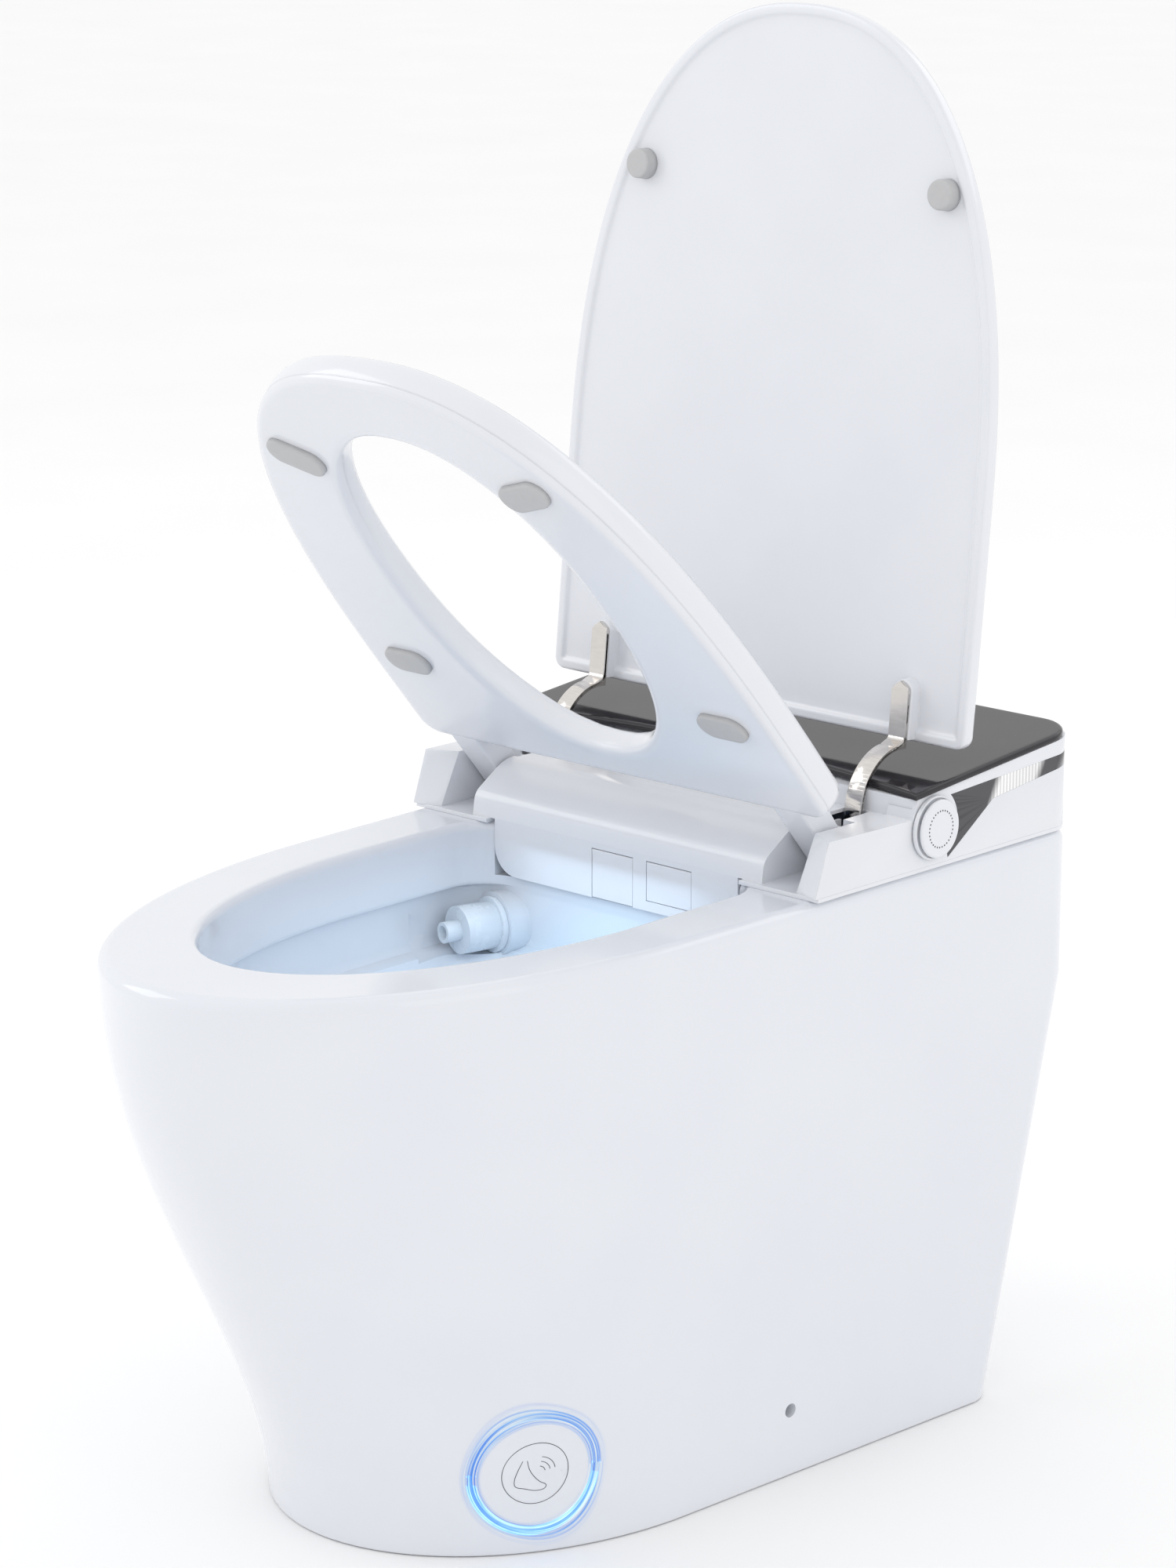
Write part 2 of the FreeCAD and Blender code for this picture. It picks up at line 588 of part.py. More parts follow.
skirt = profile("skirt", "XZ_Plane",
                [("-skirt_half", "skirt_bottom_z"), ("skirt_half", "skirt_bottom_z"),
                 ("skirt_half", "rim_z + plate_thick"), ("-skirt_half", "rim_z + plate_thick")],
                "-(skirt_front_y + skirt_wall)", "-skirt_front_y")
round_edges(skirt, 20, lambda at, along: abs(along.y) > 0.9 and at.z < 380)
door_hole = box("door_hole", ("door_left", "door_right"), (10, 30),
                ("skirt_bottom_z - 1", "door_top_z + 0.2"))
flap_hole = box("flap_hole", ("flap_left", "flap_right"), (10, 30),
                ("flap_bottom_z", "door_top_z + 0.2"))
pin_holes = [cylinder(f"pin_hole_{left}", "X", "hung_pin + running_gap",
                      (f"{left} - 2", "hung_y", "hung_z"), f"{right} - {left} + 4")
             for left, right in (("door_left", "door_right"), ("flap_left", "flap_right"))]
keep(cut("front_skirt", skirt, door_hole, flap_hole, *pin_holes), "front_skirt")


def glass_plan(name, inset):
    """Plan of the glass: bowed front edge, round rear corners."""
    front_half, rear_half = size("unit_half_front") + 3.9 - inset, size("unit_half_rear") - inset
    front_y, rear_y = size("glass_front_y") + inset, size("rim_rear_y") - inset
    radius = size("corner_radius") + 5 - inset
    start, middle = V(-front_half, front_y, 440), V(0, front_y + size("glass_bow"), 440)
    end = V(front_half, front_y, 440)
    corner, bend = V(rear_half, rear_y - radius, 440), V(rear_half - radius, rear_y, 440)
    knee = V(rear_half - radius * (1 - math.sqrt(0.5)), rear_y - radius * (1 - math.sqrt(0.5)), 440)

    def flip(point):
        return V(-point.x, point.y, point.z)

    edges = [Part.Arc(start, middle, end).toShape(),
             Part.LineSegment(end, corner).toShape(),
             Part.Arc(corner, knee, bend).toShape(),
             Part.LineSegment(bend, flip(bend)).toShape(),
             Part.Arc(flip(bend), flip(knee), flip(corner)).toShape(),
             Part.LineSegment(flip(corner), start).toShape()]
    return feature(name, extrude(Part.Wire(edges), 60))


keep(common("glass", glass_plan("glass_outline", 0), tilted_slab("glass_slab", 0, "glass_thick")),
     "glass_top")
keep(common("tray", glass_plan("tray_outline", 7), tilted_slab("tray_slab", -3, 0)), "glass_tray")


# ------------------------------------------------------------------ control knob
bezel = fuse("bezel_solid", cylinder("bezel_disc", "X", "bezel_radius",
                                     (187.8, "knob_y", "knob_z"), 3),
             cylinder("bezel_hub", "X", 9.95, (181, "knob_y", "knob_z"), 8))
keep(cut("bezel", bezel, box("bezel_top", (180, 200), (100, 160), (461.6, 480)),
         cylinder("bezel_recess", "X", "knob_radius + knob_gap", (189.4, "knob_y", "knob_z"), 5),
         cylinder("bezel_bore", "X", 5, (180, "knob_y", "knob_z"), 20)), "knob_bezel")
keep(cylinder("cap", "X", "knob_radius", (192, "knob_y", "knob_z"), 2.8), "knob_cap")
keep(cylinder("spindle", "X", 3.5, (168, "knob_y", "knob_z"), 24), "knob_spindle")
keep(box("encoder", (158, 165.5), (120, 140), (430, 449)), "knob_encoder")


# ------------------------------------------------------------------ lid, drawn closed
def lid_outline(inset, z):
    """Plan of the closed lid: straight rear edge and sides, then a long super-ellipse nose."""
    half, rear = size("lid_half") - inset, size("lid_rear_y") - 3 - inset
    start_y = size("lid_rear_y") - size("lid_straight")
    return rounded_plan(half, start_y, size("lid_nose") - inset, half, rear, 9, z,
                        size("lid_power"), 40)


lid_blank = extrude(lid_outline(0, size("lid_rim_z")), size("lid_top_z") - size("lid_rim_z"))
top_loop = [e for e in lid_blank.Edges if e.BoundBox.ZMin > size("lid_top_z") - 0.01]
lid_blank = lid_blank.makeFillet(5, top_loop)
recess = extrude(lid_outline(size("lid_lip"), size("lid_rim_z") - 1), size("lid_recess") + 1)
lid_shape = lid_blank.cut(recess)
pads = []
for side in (-1, 1):
    x = side * size("arm_x")
    pad_low = size("lid_rim_z") + size("lid_recess") - 9
    nose = V(x, 70, pad_low)
    pad_body = Part.makeCylinder(8, 10, nose).fuse(
        Part.makeBox(16, size("lid_rear_y") - 4 - 70, 10, V(x - 8, 70, pad_low)))
    lid_shape = lid_shape.fuse(pad_body)
lid = keep(feature("lid", lid_shape.removeSplitter()), "lid_shell")

bumpers = []
for side, tag in ((-1, "right"), (1, "left")):
    bumpers.append(cylinder(f"lid_bumper_{tag}", "Z", "bumper_radius",
                            (f"{side} * lid_bumper_x", "lid_rear_y - lid_bumper_reach",
                             "lid_rim_z + lid_recess - bumper_height"), "bumper_height"))
lid_bumpers = keep(group("lid_bumper_pair", bumpers), "lid_bumpers")

YZ_TURN = FreeCAD.Rotation(V(1, 1, 1), 120)
arms = []
for side, tag in ((-1, "right"), (1, "left")):
    x_low = f"{side} * arm_x - arm_width / 2"
    sectors = []
    for name, offset, grow in (("outer", "+ arm_thick / 2", 0), ("inner", "- arm_thick / 2", 1)):
        sector = doc.addObject("Part::Cylinder", f"arm_{name}_{tag}")
        bind(sector, "Radius", f"arm_radius {offset}")
        bind(sector, "Height", f"arm_width + {2 * grow}")
        bind(sector, "Angle", f"(arm_sweep + {20 * grow}) * 1 deg")
        sector.Placement = FreeCAD.Placement(
            V(0, 0, 0), FreeCAD.Rotation(V(1, 0, 0), 180 - 10 * grow).multiply(YZ_TURN))
        place(sector, f"{x_low} - {grow}", "lid_axis_y", "lid_axis_z")
        sectors.append(sector)
    strip = cut(f"arm_strip_{tag}", *sectors)
    hub = cylinder(f"arm_hub_{tag}", "X", "hub_radius", (x_low, "lid_axis_y", "lid_axis_z"),
                   "arm_width")
    spoke = box(f"arm_spoke_{tag}", (x_low, f"{side} * arm_x + arm_width / 2"),
                (0, 3), (0, 40))
    spoke.Placement.Rotation = FreeCAD.Rotation(V(1, 0, 0), size("arm_sweep") + 90 - 0.3)
    place(spoke, x_low, "lid_axis_y", "lid_axis_z")
    bracket = box(f"arm_bracket_{tag}", (x_low, f"{side} * arm_x + arm_width / 2"),
                  (68, "lid_axis_y - arm_radius + arm_thick / 2"),
                  ("lid_rim_z + lid_recess - 9 - arm_thick", "lid_rim_z + lid_recess - 9"))
    bore = cylinder(f"arm_bore_{tag}", "X", "pin_radius",
                    (f"{x_low} - 1", "lid_axis_y", "lid_axis_z"), "arm_width + 2")
    arm = cut(f"arm_{tag}", fuse(f"arm_solid_{tag}", strip, hub, spoke, bracket), bore)
    arms.append(keep(arm, f"lid_hinge_arm_{tag}"))

pins = []
for side, tag in ((-1, "right"), (1, "left")):
    low = min(side * 112, side * 151.5)
    pins.append(cylinder(f"lid_pin_{tag}", "X", "pin_radius",
                         (low, "lid_axis_y", "lid_axis_z"), 39.5))
lid_pins = keep(group("lid_pin_pair", pins), "lid_hinge_pins")
for piece in (lid, lid_bumpers, *arms):
    swing(piece, "lid_axis_y", "lid_axis_z", "lid_open")

bearings = []
for side, tag in ((-1, "right"), (1, "left")):
    for place_name, near in (("inner", 122), ("outer", 145.7)):
        low = min(side * near, side * (near + 7))
        block_piece = box(f"bearing_{tag}_{place_name}", (low, low + 7),
                          ("lid_axis_y - 9", "lid_axis_y + 9"), ("rim_z + plate_thick", 453))
        bearing_bore = cylinder(f"bearing_bore_{tag}_{place_name}", "X",
                                "pin_radius + running_gap",
                                (low - 1, "lid_axis_y", "lid_axis_z"), 9)
        bearings.append(cut(f"bearing_block_{tag}_{place_name}", block_piece, bearing_bore))
keep(group("bearings", bearings), "lid_bearing_blocks")
keep(fuse("lid_motor", cylinder("lid_motor_can", "X", 13, (30, "lid_axis_y", 433), 52),
          box("lid_gearbox", (82, 111.5), (130, 164), (416, 453))), "lid_drive_motor")


# ------------------------------------------------------------------ seat, drawn closed
def seat_outline(inset, z):
    half = size("seat_half") - inset
    return rounded_plan(half, size("seat_centre_y"), size("seat_nose") - inset, half,
                        size("seat_rear_y") - inset, 16, z, size("seat_power"), 40)


def seat_hole(grow, low, height):
    """Oval opening of the seat as a solid."""
    major, minor = size("hole_length") + grow, size("hole_half") + grow
    oval = Part.Ellipse(V(0, size("hole_centre_y") + major, low),
                        V(minor, size("hole_centre_y"), low), V(0, size("hole_centre_y"), low))
    return extrude(Part.Wire(oval.toShape()), height)


under, top, split = size("seat_under_z"), size("seat_top_z"), size("seat_under_z") + 5
seat_blank = extrude(seat_outline(0, split), top - split)
seat_blank = seat_blank.cut(seat_hole(0, split - 1, 60))
seat_edges = [e for e in seat_blank.Edges if e.BoundBox.ZMin > top - 0.01]
seat_blank = seat_blank.makeFillet(8, seat_edges)
seat_wall = size("seat_wall")
seat_room = extrude(seat_outline(seat_wall + 3, split - 1), top - split - 4)
seat_room = seat_room.cut(seat_hole(seat_wall + 3, split - 2, 60))
lugs = []
for side in (-1, 1):
    low = min(side * size("lug_inner"), side * size("lug_outer"))
    width = size("lug_outer") - size("lug_inner")
    axis_y, axis_z, radius = size("seat_axis_y"), size("seat_axis_z"), size("lug_radius")
    boss = Part.makeCylinder(radius, width, V(low, axis_y, axis_z), V(1, 0, 0))
    corners = [V(low, 5, under), V(low, axis_y, axis_z - radius), V(low, axis_y, axis_z + radius),
               V(low, 5, top - 9)]
    web = Part.Face(Part.makePolygon(corners + corners[:1])).extrude(V(width, 0, 0))
    bore = Part.makeCylinder(size("pin_radius"), width + 2, V(low - 1, axis_y, axis_z), V(1, 0, 0))
    lugs.append(boss.fuse(web).cut(bore))
lower_plate = extrude(seat_outline(0, under), split - under).cut(seat_hole(0, under - 1, 60))
upper_shape = seat_blank.cut(seat_room)
for lug in lugs:
    upper_shape = upper_shape.fuse(lug.cut(lower_plate))
seat_upper = keep(feature("seat_upper", upper_shape), "seat_upper_shell")
seat_lower = keep(feature("seat_lower", lower_plate), "seat_lower_shell")
heater_plate = extrude(seat_outline(26, top - 7), 1).cut(seat_hole(20, top - 8, 10))
seat_heater = keep(feature("heater_foil", heater_plate.cut(
    Part.makeBox(400, 60, 10, V(-200, -20, top - 10)))), "seat_heater")

seat_pads = []
for x, y, long_half, turn in ((102, -296, 12, -20), (143, -78, 9, 0)):
    for side in (-1, 1):
        ends = V(long_half, 0, 0)
        centre = V(side * x, y, under - size("pad_height"))
        rotation = FreeCAD.Rotation(V(0, 0, 1), side * turn)
        along = rotation.multVec(ends)
        pad_shape = Part.makeCylinder(11, size("pad_height"), centre + along)
        pad_shape = pad_shape.fuse(Part.makeCylinder(11, size("pad_height"), centre - along))
        bar = Part.makeBox(2 * long_half, 22, size("pad_height"), V(-long_half, -11, 0))
        bar.Placement = FreeCAD.Placement(centre, rotation)
        seat_pads.append(pad_shape.fuse(bar).removeSplitter())
seat_bumpers = keep(feature("seat_pads", Part.makeCompound(seat_pads)), "seat_bumpers")

seat_pin_list = []
for side, tag in ((-1, "right"), (1, "left")):
    low = min(side * 122, side * 166)
    seat_pin_list.append(cylinder(f"seat_pin_{tag}", "X", "pin_radius",
                                  (low, "seat_axis_y", "seat_axis_z"), 44))
seat_pins = keep(group("seat_pin_pair", seat_pin_list), "seat_hinge_pins")
for piece in (seat_upper, seat_lower, seat_heater, seat_bumpers):
    swing(piece, "seat_axis_y", "seat_axis_z", "seat_raised")

bushes = []
for side, tag in ((-1, "right"), (1, "left")):
    low = min(side * 125.5, side * 130.3)
    bushes.append(cut(f"bush_{tag}",
                      cylinder(f"bush_outer_{tag}", "X", 7, (low, "seat_axis_y", "seat_axis_z"),
                               4.8),
                      cylinder(f"bush_inner_{tag}", "X", "pin_radius + running_gap",
                               (low - 1, "seat_axis_y", "seat_axis_z"), 7)))
keep(group("bushes", bushes), "seat_pin_bushes")
keep(fuse("seat_motor", cylinder("seat_motor_can", "X", 11, (-84, "seat_axis_y + 12", 429), 50),
          box("seat_gearbox", (-121.5, -84), ("seat_axis_y - 12", "seat_axis_y + 24"),
              (414, 442))), "seat_drive_motor")


# ------------------------------------------------------------------ wash wand and its door
def along_wand(thing, x, back, drop):
    """Put a thing drawn along +Y on the wand's slope, from a point behind the wand's tip."""
    thing.Placement = FreeCAD.Placement(V(0, 0, 0),
                                        FreeCAD.Rotation(V(1, 0, 0), size("wand_slope")))
    slope = "(wand_slope * 1 deg)"
    place(thing, x, f"wand_tip_y + {back} * cos{slope} + {drop} * sin{slope}",
          f"wand_tip_z + {back} * sin{slope} - {drop} * cos{slope}")
    return thing


def wand_round(name, radius, start, length):
    """Round piece on the wand's axis."""
    thing = doc.addObject("Part::Cylinder", name)
    bind(thing, "Radius", radius)
    bind(thing, "Height", length)
    turn = FreeCAD.Rotation(V(1, 0, 0), size("wand_slope") - 90)
    thing.Placement = FreeCAD.Placement(V(0, 0, 0), turn)
    slope = "(wand_slope * 1 deg)"
    place(thing, "wand_x", f"wand_tip_y + ({start}) * cos{slope}",
          f"wand_tip_z + ({start}) * sin{slope}")
    return thing


keep(wand_round("tube", "wand_radius", 16, "wand_length - 16"), "wand_tube")
keep(cut("tip", wand_round("tip_body", "wand_radius + 0.4", 0, 16),
         cylinder("spray_hole", "Z", 1.2, ("wand_x", "wand_tip_y + 6", "wand_tip_z + 5"), 12),
         cylinder("spray_hole_2", "Z", 1.2, ("wand_x", "wand_tip_y + 11", "wand_tip_z + 7"), 12)),
     "wand_tip")
rail = along_wand(box("rail_block", (-12, 12), (0, 82), (0, 12)), "wand_x - 12", 21, 12)
keep(cut("guide", rail, wand_round("rail_groove", "wand_radius + 0.7", -30, 300)), "wand_guide")
keep(fuse("wand_drive", box("wand_stepper", (11.5, 28), (118, 140), (414, 440)),
          cylinder("wand_stepper_shaft", "X", 1.6, (11.2, 129, 427), 2)), "wand_motor")


def hung_flap(name, left, right, bottom):
    """Flap with a round top edge that turns on two short pins."""
    leaf = box(f"{name}_leaf", (f"{left} + door_gap", f"{right} - door_gap"),
               ("hung_y - door_thick / 2", "hung_y + door_thick / 2"),
               (f"{bottom} + door_gap", "hung_z"))
    round_top = cylinder(f"{name}_top", "X", "door_thick / 2",
                         (f"{left} + door_gap", "hung_y", "hung_z"),
                         f"{right} - {left} - 2 * door_gap")
    pin = cylinder(f"{name}_pin", "X", "hung_pin", (f"{left} - 1.5", "hung_y", "hung_z"),
                   f"{right} - {left} + 3")
    return fuse(name, leaf, round_top, pin)


keep(hung_flap("door", "door_left", "door_right", "skirt_bottom_z"), "nozzle_door")
keep(hung_flap("flap", "flap_left", "flap_right", "flap_bottom_z"), "dryer_flap")

# ------------------------------------------------------------------ warm air dryer
duct_outer = box("duct_outer", ("flap_left + 1", "flap_right - 1"), (21.5, 104), (382.5, 402))
duct_inner = box("duct_inner", ("flap_left + 3", "flap_right - 3"), (20, 105), (384.5, 400))
scroll = cylinder("scroll", "X", "blower_radius",
                  ("blower_x - blower_width / 2", "blower_y", "blower_z"), "blower_width")
scroll_room = cylinder("scroll_room", "X", "blower_radius - 2",
                       ("blower_x - blower_width / 2 + 2", "blower_y", "blower_z"),
                       "blower_width - 4")
intake = cylinder("intake", "X", 14, ("blower_x", "blower_y", "blower_z"), 30)
motor_bore = cylinder("motor_bore", "X", 3.2, ("blower_x - 40", "blower_y", "blower_z"), 40)
keep(cut("blower_case", fuse("blower_solid", scroll, duct_outer), duct_inner, scroll_room,
         intake, motor_bore), "blower_housing")
hub = cylinder("wheel_hub", "X", 6, ("blower_x - 13", "blower_y", "blower_z"), 12)
disc = cylinder("wheel_disc", "X", 23, ("blower_x - 14", "blower_y", "blower_z"), 2)
vanes = []
for number in range(12):
    vane = box(f"vane_{number}", (0, 20), (15, 22.6), (-0.6, 0.6))
    vane.Placement.Rotation = FreeCAD.Rotation(V(1, 0, 0), number * 30)
    angle = math.radians(number * 30)
    place(vane, "blower_x - 13", f"blower_y + {15 * math.cos(angle):.4f}",
          f"blower_z + {15 * math.sin(angle):.4f}")
    vanes.append(vane)
axle = cylinder("wheel_axle", "X", 2.5, ("blower_x - 34", "blower_y", "blower_z"), 22)
keep(fuse("wheel", hub, disc, axle, *vanes), "blower_wheel")
motor_can = cylinder("blower_can", "X", 16, ("blower_x - 44", "blower_y", "blower_z"), 22.5)
keep(cut("blower_drive", motor_can,
         cylinder("blower_can_bore", "X", 2.56, ("blower_x - 36", "blower_y", "blower_z"), 30)),
     "blower_motor")


# ------------------------------------------------------------------ water and electrics in the bay
def hose(route, radius, bend):
    """Hose along straight runs joined by tangent arcs."""
    edges, start = [], route[0]
    for before, corner, after in zip(route, route[1:], route[2:]):
        into, out = (corner - before).normalize(), (after - corner).normalize()
        turn = into.getAngle(out)
        reach = bend * math.tan(turn / 2)
        inward = (out - into).normalize()
        centre = corner + inward * (bend / math.cos(turn / 2))
        edges.append(Part.LineSegment(start, corner - into * reach).toShape())
        edges.append(Part.Arc(corner - into * reach, centre - inward * bend,
                              corner + out * reach).toShape())
        start = corner + out * reach
    edges.append(Part.LineSegment(start, route[-1]).toShape())
    ring = Part.Wire(Part.Circle(route[0], route[1] - route[0], radius).toShape())
    return Part.Wire(edges).makePipeShell([ring], True, False)


keep(fuse("inlet", cylinder("inlet_stub", "Y", 10.48, (-120, 262, 330), 22),
          cylinder("inlet_nut", "Y", 13, (-120, 254, 330), 8)), "inlet_connector")
keep(fuse("valve", box("valve_body", (-138, -102), (214, 254), (306, 350)),
          cylinder("valve_coil", "Z", 11, (-120, 232, 350), 30)), "solenoid_valve")
keep(fuse("heater", box("heater_body", (-100, -56), (108, 190), (320, 372)),
          cylinder("heater_outlet", "Z", 4, (-78, 122, 372), 10)), "water_heater")
keep(fuse("pump", box("pump_body", (-152, -112), (62, 100), (300, 352)),
          cylinder("pump_motor", "Y", 16, (-132, 100, 322), 48)), "flush_pump")
keep(cut("tank", box("tank_outer", (82, 160), (62, 186), (294, 396)),
         box("tank_inner", (84.5, 157.5), (64.5, 183.5), (296.5, 393.5))), "water_tank")
keep(fuse("air", cylinder("air_body", "Y", 14, (-20, 74, 318), 44),
          cylinder("air_head", "Y", 10, (-20, 118, 318), 16)), "air_pump")
keep(box("supply", (-40, 58), (186, 262), (294, 340)), "power_supply")
keep(fuse("board", box("board_plate", (-70, 70), (196, 256), (424, 425.6)),
          box("board_relay", (-50, -26), (206, 226), (425.6, 440)),
          box("board_chip", (0, 18), (216, 234), (425.6, 428.6)),
          box("board_socket", (34, 62), (240, 252), (425.6, 434))), "control_board")
keep(cut("cartridge", box("cartridge_case", (86, 150), (196, 256), (350, 396)),
         box("cartridge_air", (92, 144), (190, 262), (356, 390))), "deodorizer_cartridge")
keep(cut("gland", fuse("gland_solid", cylinder("gland_body", "Y", 11, (120, 262, 335), 26),
                       cylinder("gland_nut", "Y", 14, (120, 258, 335), 11.8)),
         cylinder("gland_bore", "Y", 4.2, (120, 250, 335), 50)), "power_gland")

keep(feature("hose_a", hose([V(-102, 240, 330), V(-78, 240, 330), V(-78, 240, 360),
                             V(-78, 190, 360)], 5, 11)), "heater_hose")
keep(feature("hose_b", hose([V(-78, 122, 382), V(-78, 122, 408), V(-30, 122, 408),
                             V(-30, 162, 440), V(-9, 162, 446)], 4, 12)), "wand_hose")
spout_back = SPOUT_CENTRE - SPOUT_AXIS * 58
keep(feature("hose_c", hose([spout_back, spout_back - SPOUT_AXIS * 24,
                             V(-96, 96, 345), V(-112, 96, 345)], 8, 10)), "flush_hose")
keep(fuse("lamp", box("lamp_body", (20.5, 28.5), (21.1, 28), (384, 396)),
          cylinder("lamp_lens", "Z", 3, (24.5, 25, 381), 3)), "night_light")

# ------------------------------------------------------------------ check and write
doc.recompute()
for thing in doc.Objects:
    if "Invalid" in thing.State or "Error" in thing.State:
        raise RuntimeError(f"{thing.Name} failed: {thing.State}")
os.makedirs("parts", exist_ok=True)
for stale in os.listdir("parts"):
    os.remove(os.path.join("parts", stale))
for thing in parts:
    shape = thing.Shape
    if shape.isNull() or not shape.isValid() or not shape.Solids:
        raise RuntimeError(f"{thing.Label} has no valid solid")
    shape.exportStep(f"parts/{thing.Label}.step")
    print(f"{thing.Label:24s} solids {len(shape.Solids)}  volume {shape.Volume / 1000:.1f} cm3")
print(len(parts), "sub-parts")
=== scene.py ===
"""Looks of the one-piece electric bidet toilet: its pieces, materials, lights and camera."""
import json
import math

import bmesh
import bpy
from mathutils import Matrix, Vector


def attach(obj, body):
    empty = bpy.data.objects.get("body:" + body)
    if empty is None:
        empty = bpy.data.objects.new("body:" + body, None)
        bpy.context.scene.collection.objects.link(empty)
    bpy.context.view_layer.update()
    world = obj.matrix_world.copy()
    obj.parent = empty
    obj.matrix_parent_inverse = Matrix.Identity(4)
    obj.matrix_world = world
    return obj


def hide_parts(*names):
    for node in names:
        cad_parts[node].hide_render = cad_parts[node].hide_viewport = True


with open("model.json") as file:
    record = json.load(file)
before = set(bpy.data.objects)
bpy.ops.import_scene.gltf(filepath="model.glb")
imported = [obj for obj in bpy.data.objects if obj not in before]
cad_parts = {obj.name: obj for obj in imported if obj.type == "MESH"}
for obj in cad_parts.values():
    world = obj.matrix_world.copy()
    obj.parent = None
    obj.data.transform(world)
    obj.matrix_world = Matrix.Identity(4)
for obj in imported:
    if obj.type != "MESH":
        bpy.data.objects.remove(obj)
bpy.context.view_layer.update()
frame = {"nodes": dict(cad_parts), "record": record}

MM = 0.001


# ------------------------------------------------------------------ mesh tools (millimetres in)
def make(name, points, faces, smooth=True):
    """Object from points in millimetres."""
    data = bpy.data.meshes.new(name)
    data.from_pydata([Vector(p) * MM for p in points], [], faces)
    work = bmesh.new()
    work.from_mesh(data)
    bmesh.ops.remove_doubles(work, verts=work.verts, dist=1e-6)
    bmesh.ops.recalc_face_normals(work, faces=work.faces)
    work.to_mesh(data)
    work.free()
    for face in data.polygons:
        face.use_smooth = smooth
    thing = bpy.data.objects.new(name, data)
    bpy.context.scene.collection.objects.link(thing)
    return thing


def loft(name, rings, close_low=True, close_high=True, wrap=False):
    """Skin through rings that have the same number of points; wrap joins the last to the first."""
    count = len(rings[0])
    points = [p for ring in rings for p in ring]
    faces = []
    spans = len(rings) if wrap else len(rings) - 1
    for level in range(spans):
        here, there = level * count, (level + 1) % len(rings) * count
        for i in range(count):
            j = (i + 1) % count
            faces.append((here + i, here + j, there + j, there + i))
    if not wrap and close_low:
        faces.append(tuple(range(count)))
    if not wrap and close_high:
        faces.append(tuple(range((len(rings) - 1) * count, len(rings) * count)))
    return make(name, points, faces)


def lathe(name, centre, axis, profile, count=96):
    """Turned piece: profile is (distance along the axis, radius) pairs."""
    turn = Vector(axis).to_track_quat("Z", "Y").to_matrix()
    rings = []
    for along, radius in profile:
        rings.append([Vector(centre) + turn @ Vector((
            radius * math.cos(2 * math.pi * i / count),
            radius * math.sin(2 * math.pi * i / count), along)) for i in range(count)])
    return loft(name, rings)


def prism(name, outline, place_point, low, high, edge=0.8):
    """Straight-sided solid with rounded edges; place_point turns (u, v, depth) into a point."""
    rings = [[place_point(u, v, depth) for u, v in outline] for depth in (low, high)]
    thing = loft(name, rings)
    soften(thing, edge)
    return thing


def soften(thing, width, segments=3, angle=30):
    """Rounded edges of a real width."""
    weld = thing.modifiers.new("weld", "WELD")
    weld.merge_threshold = 1e-6
    bevel = thing.modifiers.new("edges", "BEVEL")
    bevel.width = width * MM
    bevel.segments = segments
    bevel.limit_method = "ANGLE"
    bevel.angle_limit = math.radians(angle)
    bevel.use_clamp_overlap = True
    bevel.harden_normals = True
    return thing


def settle(thing):
    """Replace an object's mesh by its evaluated one."""
    graph = bpy.context.evaluated_depsgraph_get()
    graph.update()
    data = bpy.data.meshes.new_from_object(thing.evaluated_get(graph))
    thing.modifiers.clear()
    thing.data = data
    return thing


def carve(thing, *cutters, operation="DIFFERENCE"):
    """Cut shapes out of a thing, or join them to it, and drop them."""
    for cutter in cutters:
        step = thing.modifiers.new("carve", "BOOLEAN")
        step.operation = operation
        step.solver = "EXACT"
        step.object = cutter
        settle(thing)
        bpy.data.objects.remove(cutter)
    return thing


def sharpen(thing, angle=32):
    thing.data.set_sharp_from_angle(angle=math.radians(angle))
    weights = thing.modifiers.new("normals", "WEIGHTED_NORMAL")
    weights.keep_sharp = True
    weights.weight = 90
    return thing


def swing(thing, axis_y, axis_z, angle):
    """Turn a thing drawn closed up to its rest pose about an axis along X."""
    pivot = Vector((0, axis_y, axis_z)) * MM
    turn = (Matrix.Translation(pivot) @ Matrix.Rotation(-math.radians(angle), 4, "X")
            @ Matrix.Translation(-pivot))
    thing.data.transform(turn)
    return thing


def blend(low, high, part):
    return low + (high - low) * part


def block(name, x, y, z):
    corners = [(x[0], y[0]), (x[1], y[0]), (x[1], y[1]), (x[0], y[1])]
    return loft(name, [[(u, v, level) for u, v in corners] for level in z])


def rounded_plan(half, centre_y, length, rear_half, rear_y, corner, z, power=2.0,
                 nose_count=96):
    """Plan outline: curved nose towards -Y, straight sides, straight rear with round corners."""
    slope, turn = 0.0, 0.0
    for _ in range(30):
        turn = math.atan(slope * length / half) if power == 2.0 else 0.0
        start_x = half * math.cos(turn)
        start_y = centre_y - length * math.sin(turn)
        slope = (rear_half - start_x) / (rear_y - corner - start_y)
    points = []
    for i in range(nose_count + 1):
        angle = turn + (math.pi - 2 * turn) * i / nose_count
        cosine, sine = math.cos(angle), math.sin(angle)
        x = half * math.copysign(abs(cosine) ** (2 / power), cosine)
        points.append((x, centre_y - length * abs(sine) ** (2 / power), z))
    centre_x, centre_corner = rear_half - corner, rear_y - corner
    side = []
    for i in range(1, 16):
        part = i / 16
        side.append((blend(start_x, rear_half, part), blend(start_y, centre_corner, part)))
    bend = [(centre_x + corner * math.cos(math.radians(a)),
             centre_corner + corner * math.sin(math.radians(a))) for a in range(0, 91, 9)]
    half_loop = side + bend
    points += [(-x, y, z) for x, y in half_loop]
    for i in range(1, 16):
        points.append((blend(-centre_x, centre_x, i / 16), rear_y, z))
    points += [(x, y, z) for x, y in reversed(half_loop)]
    return points


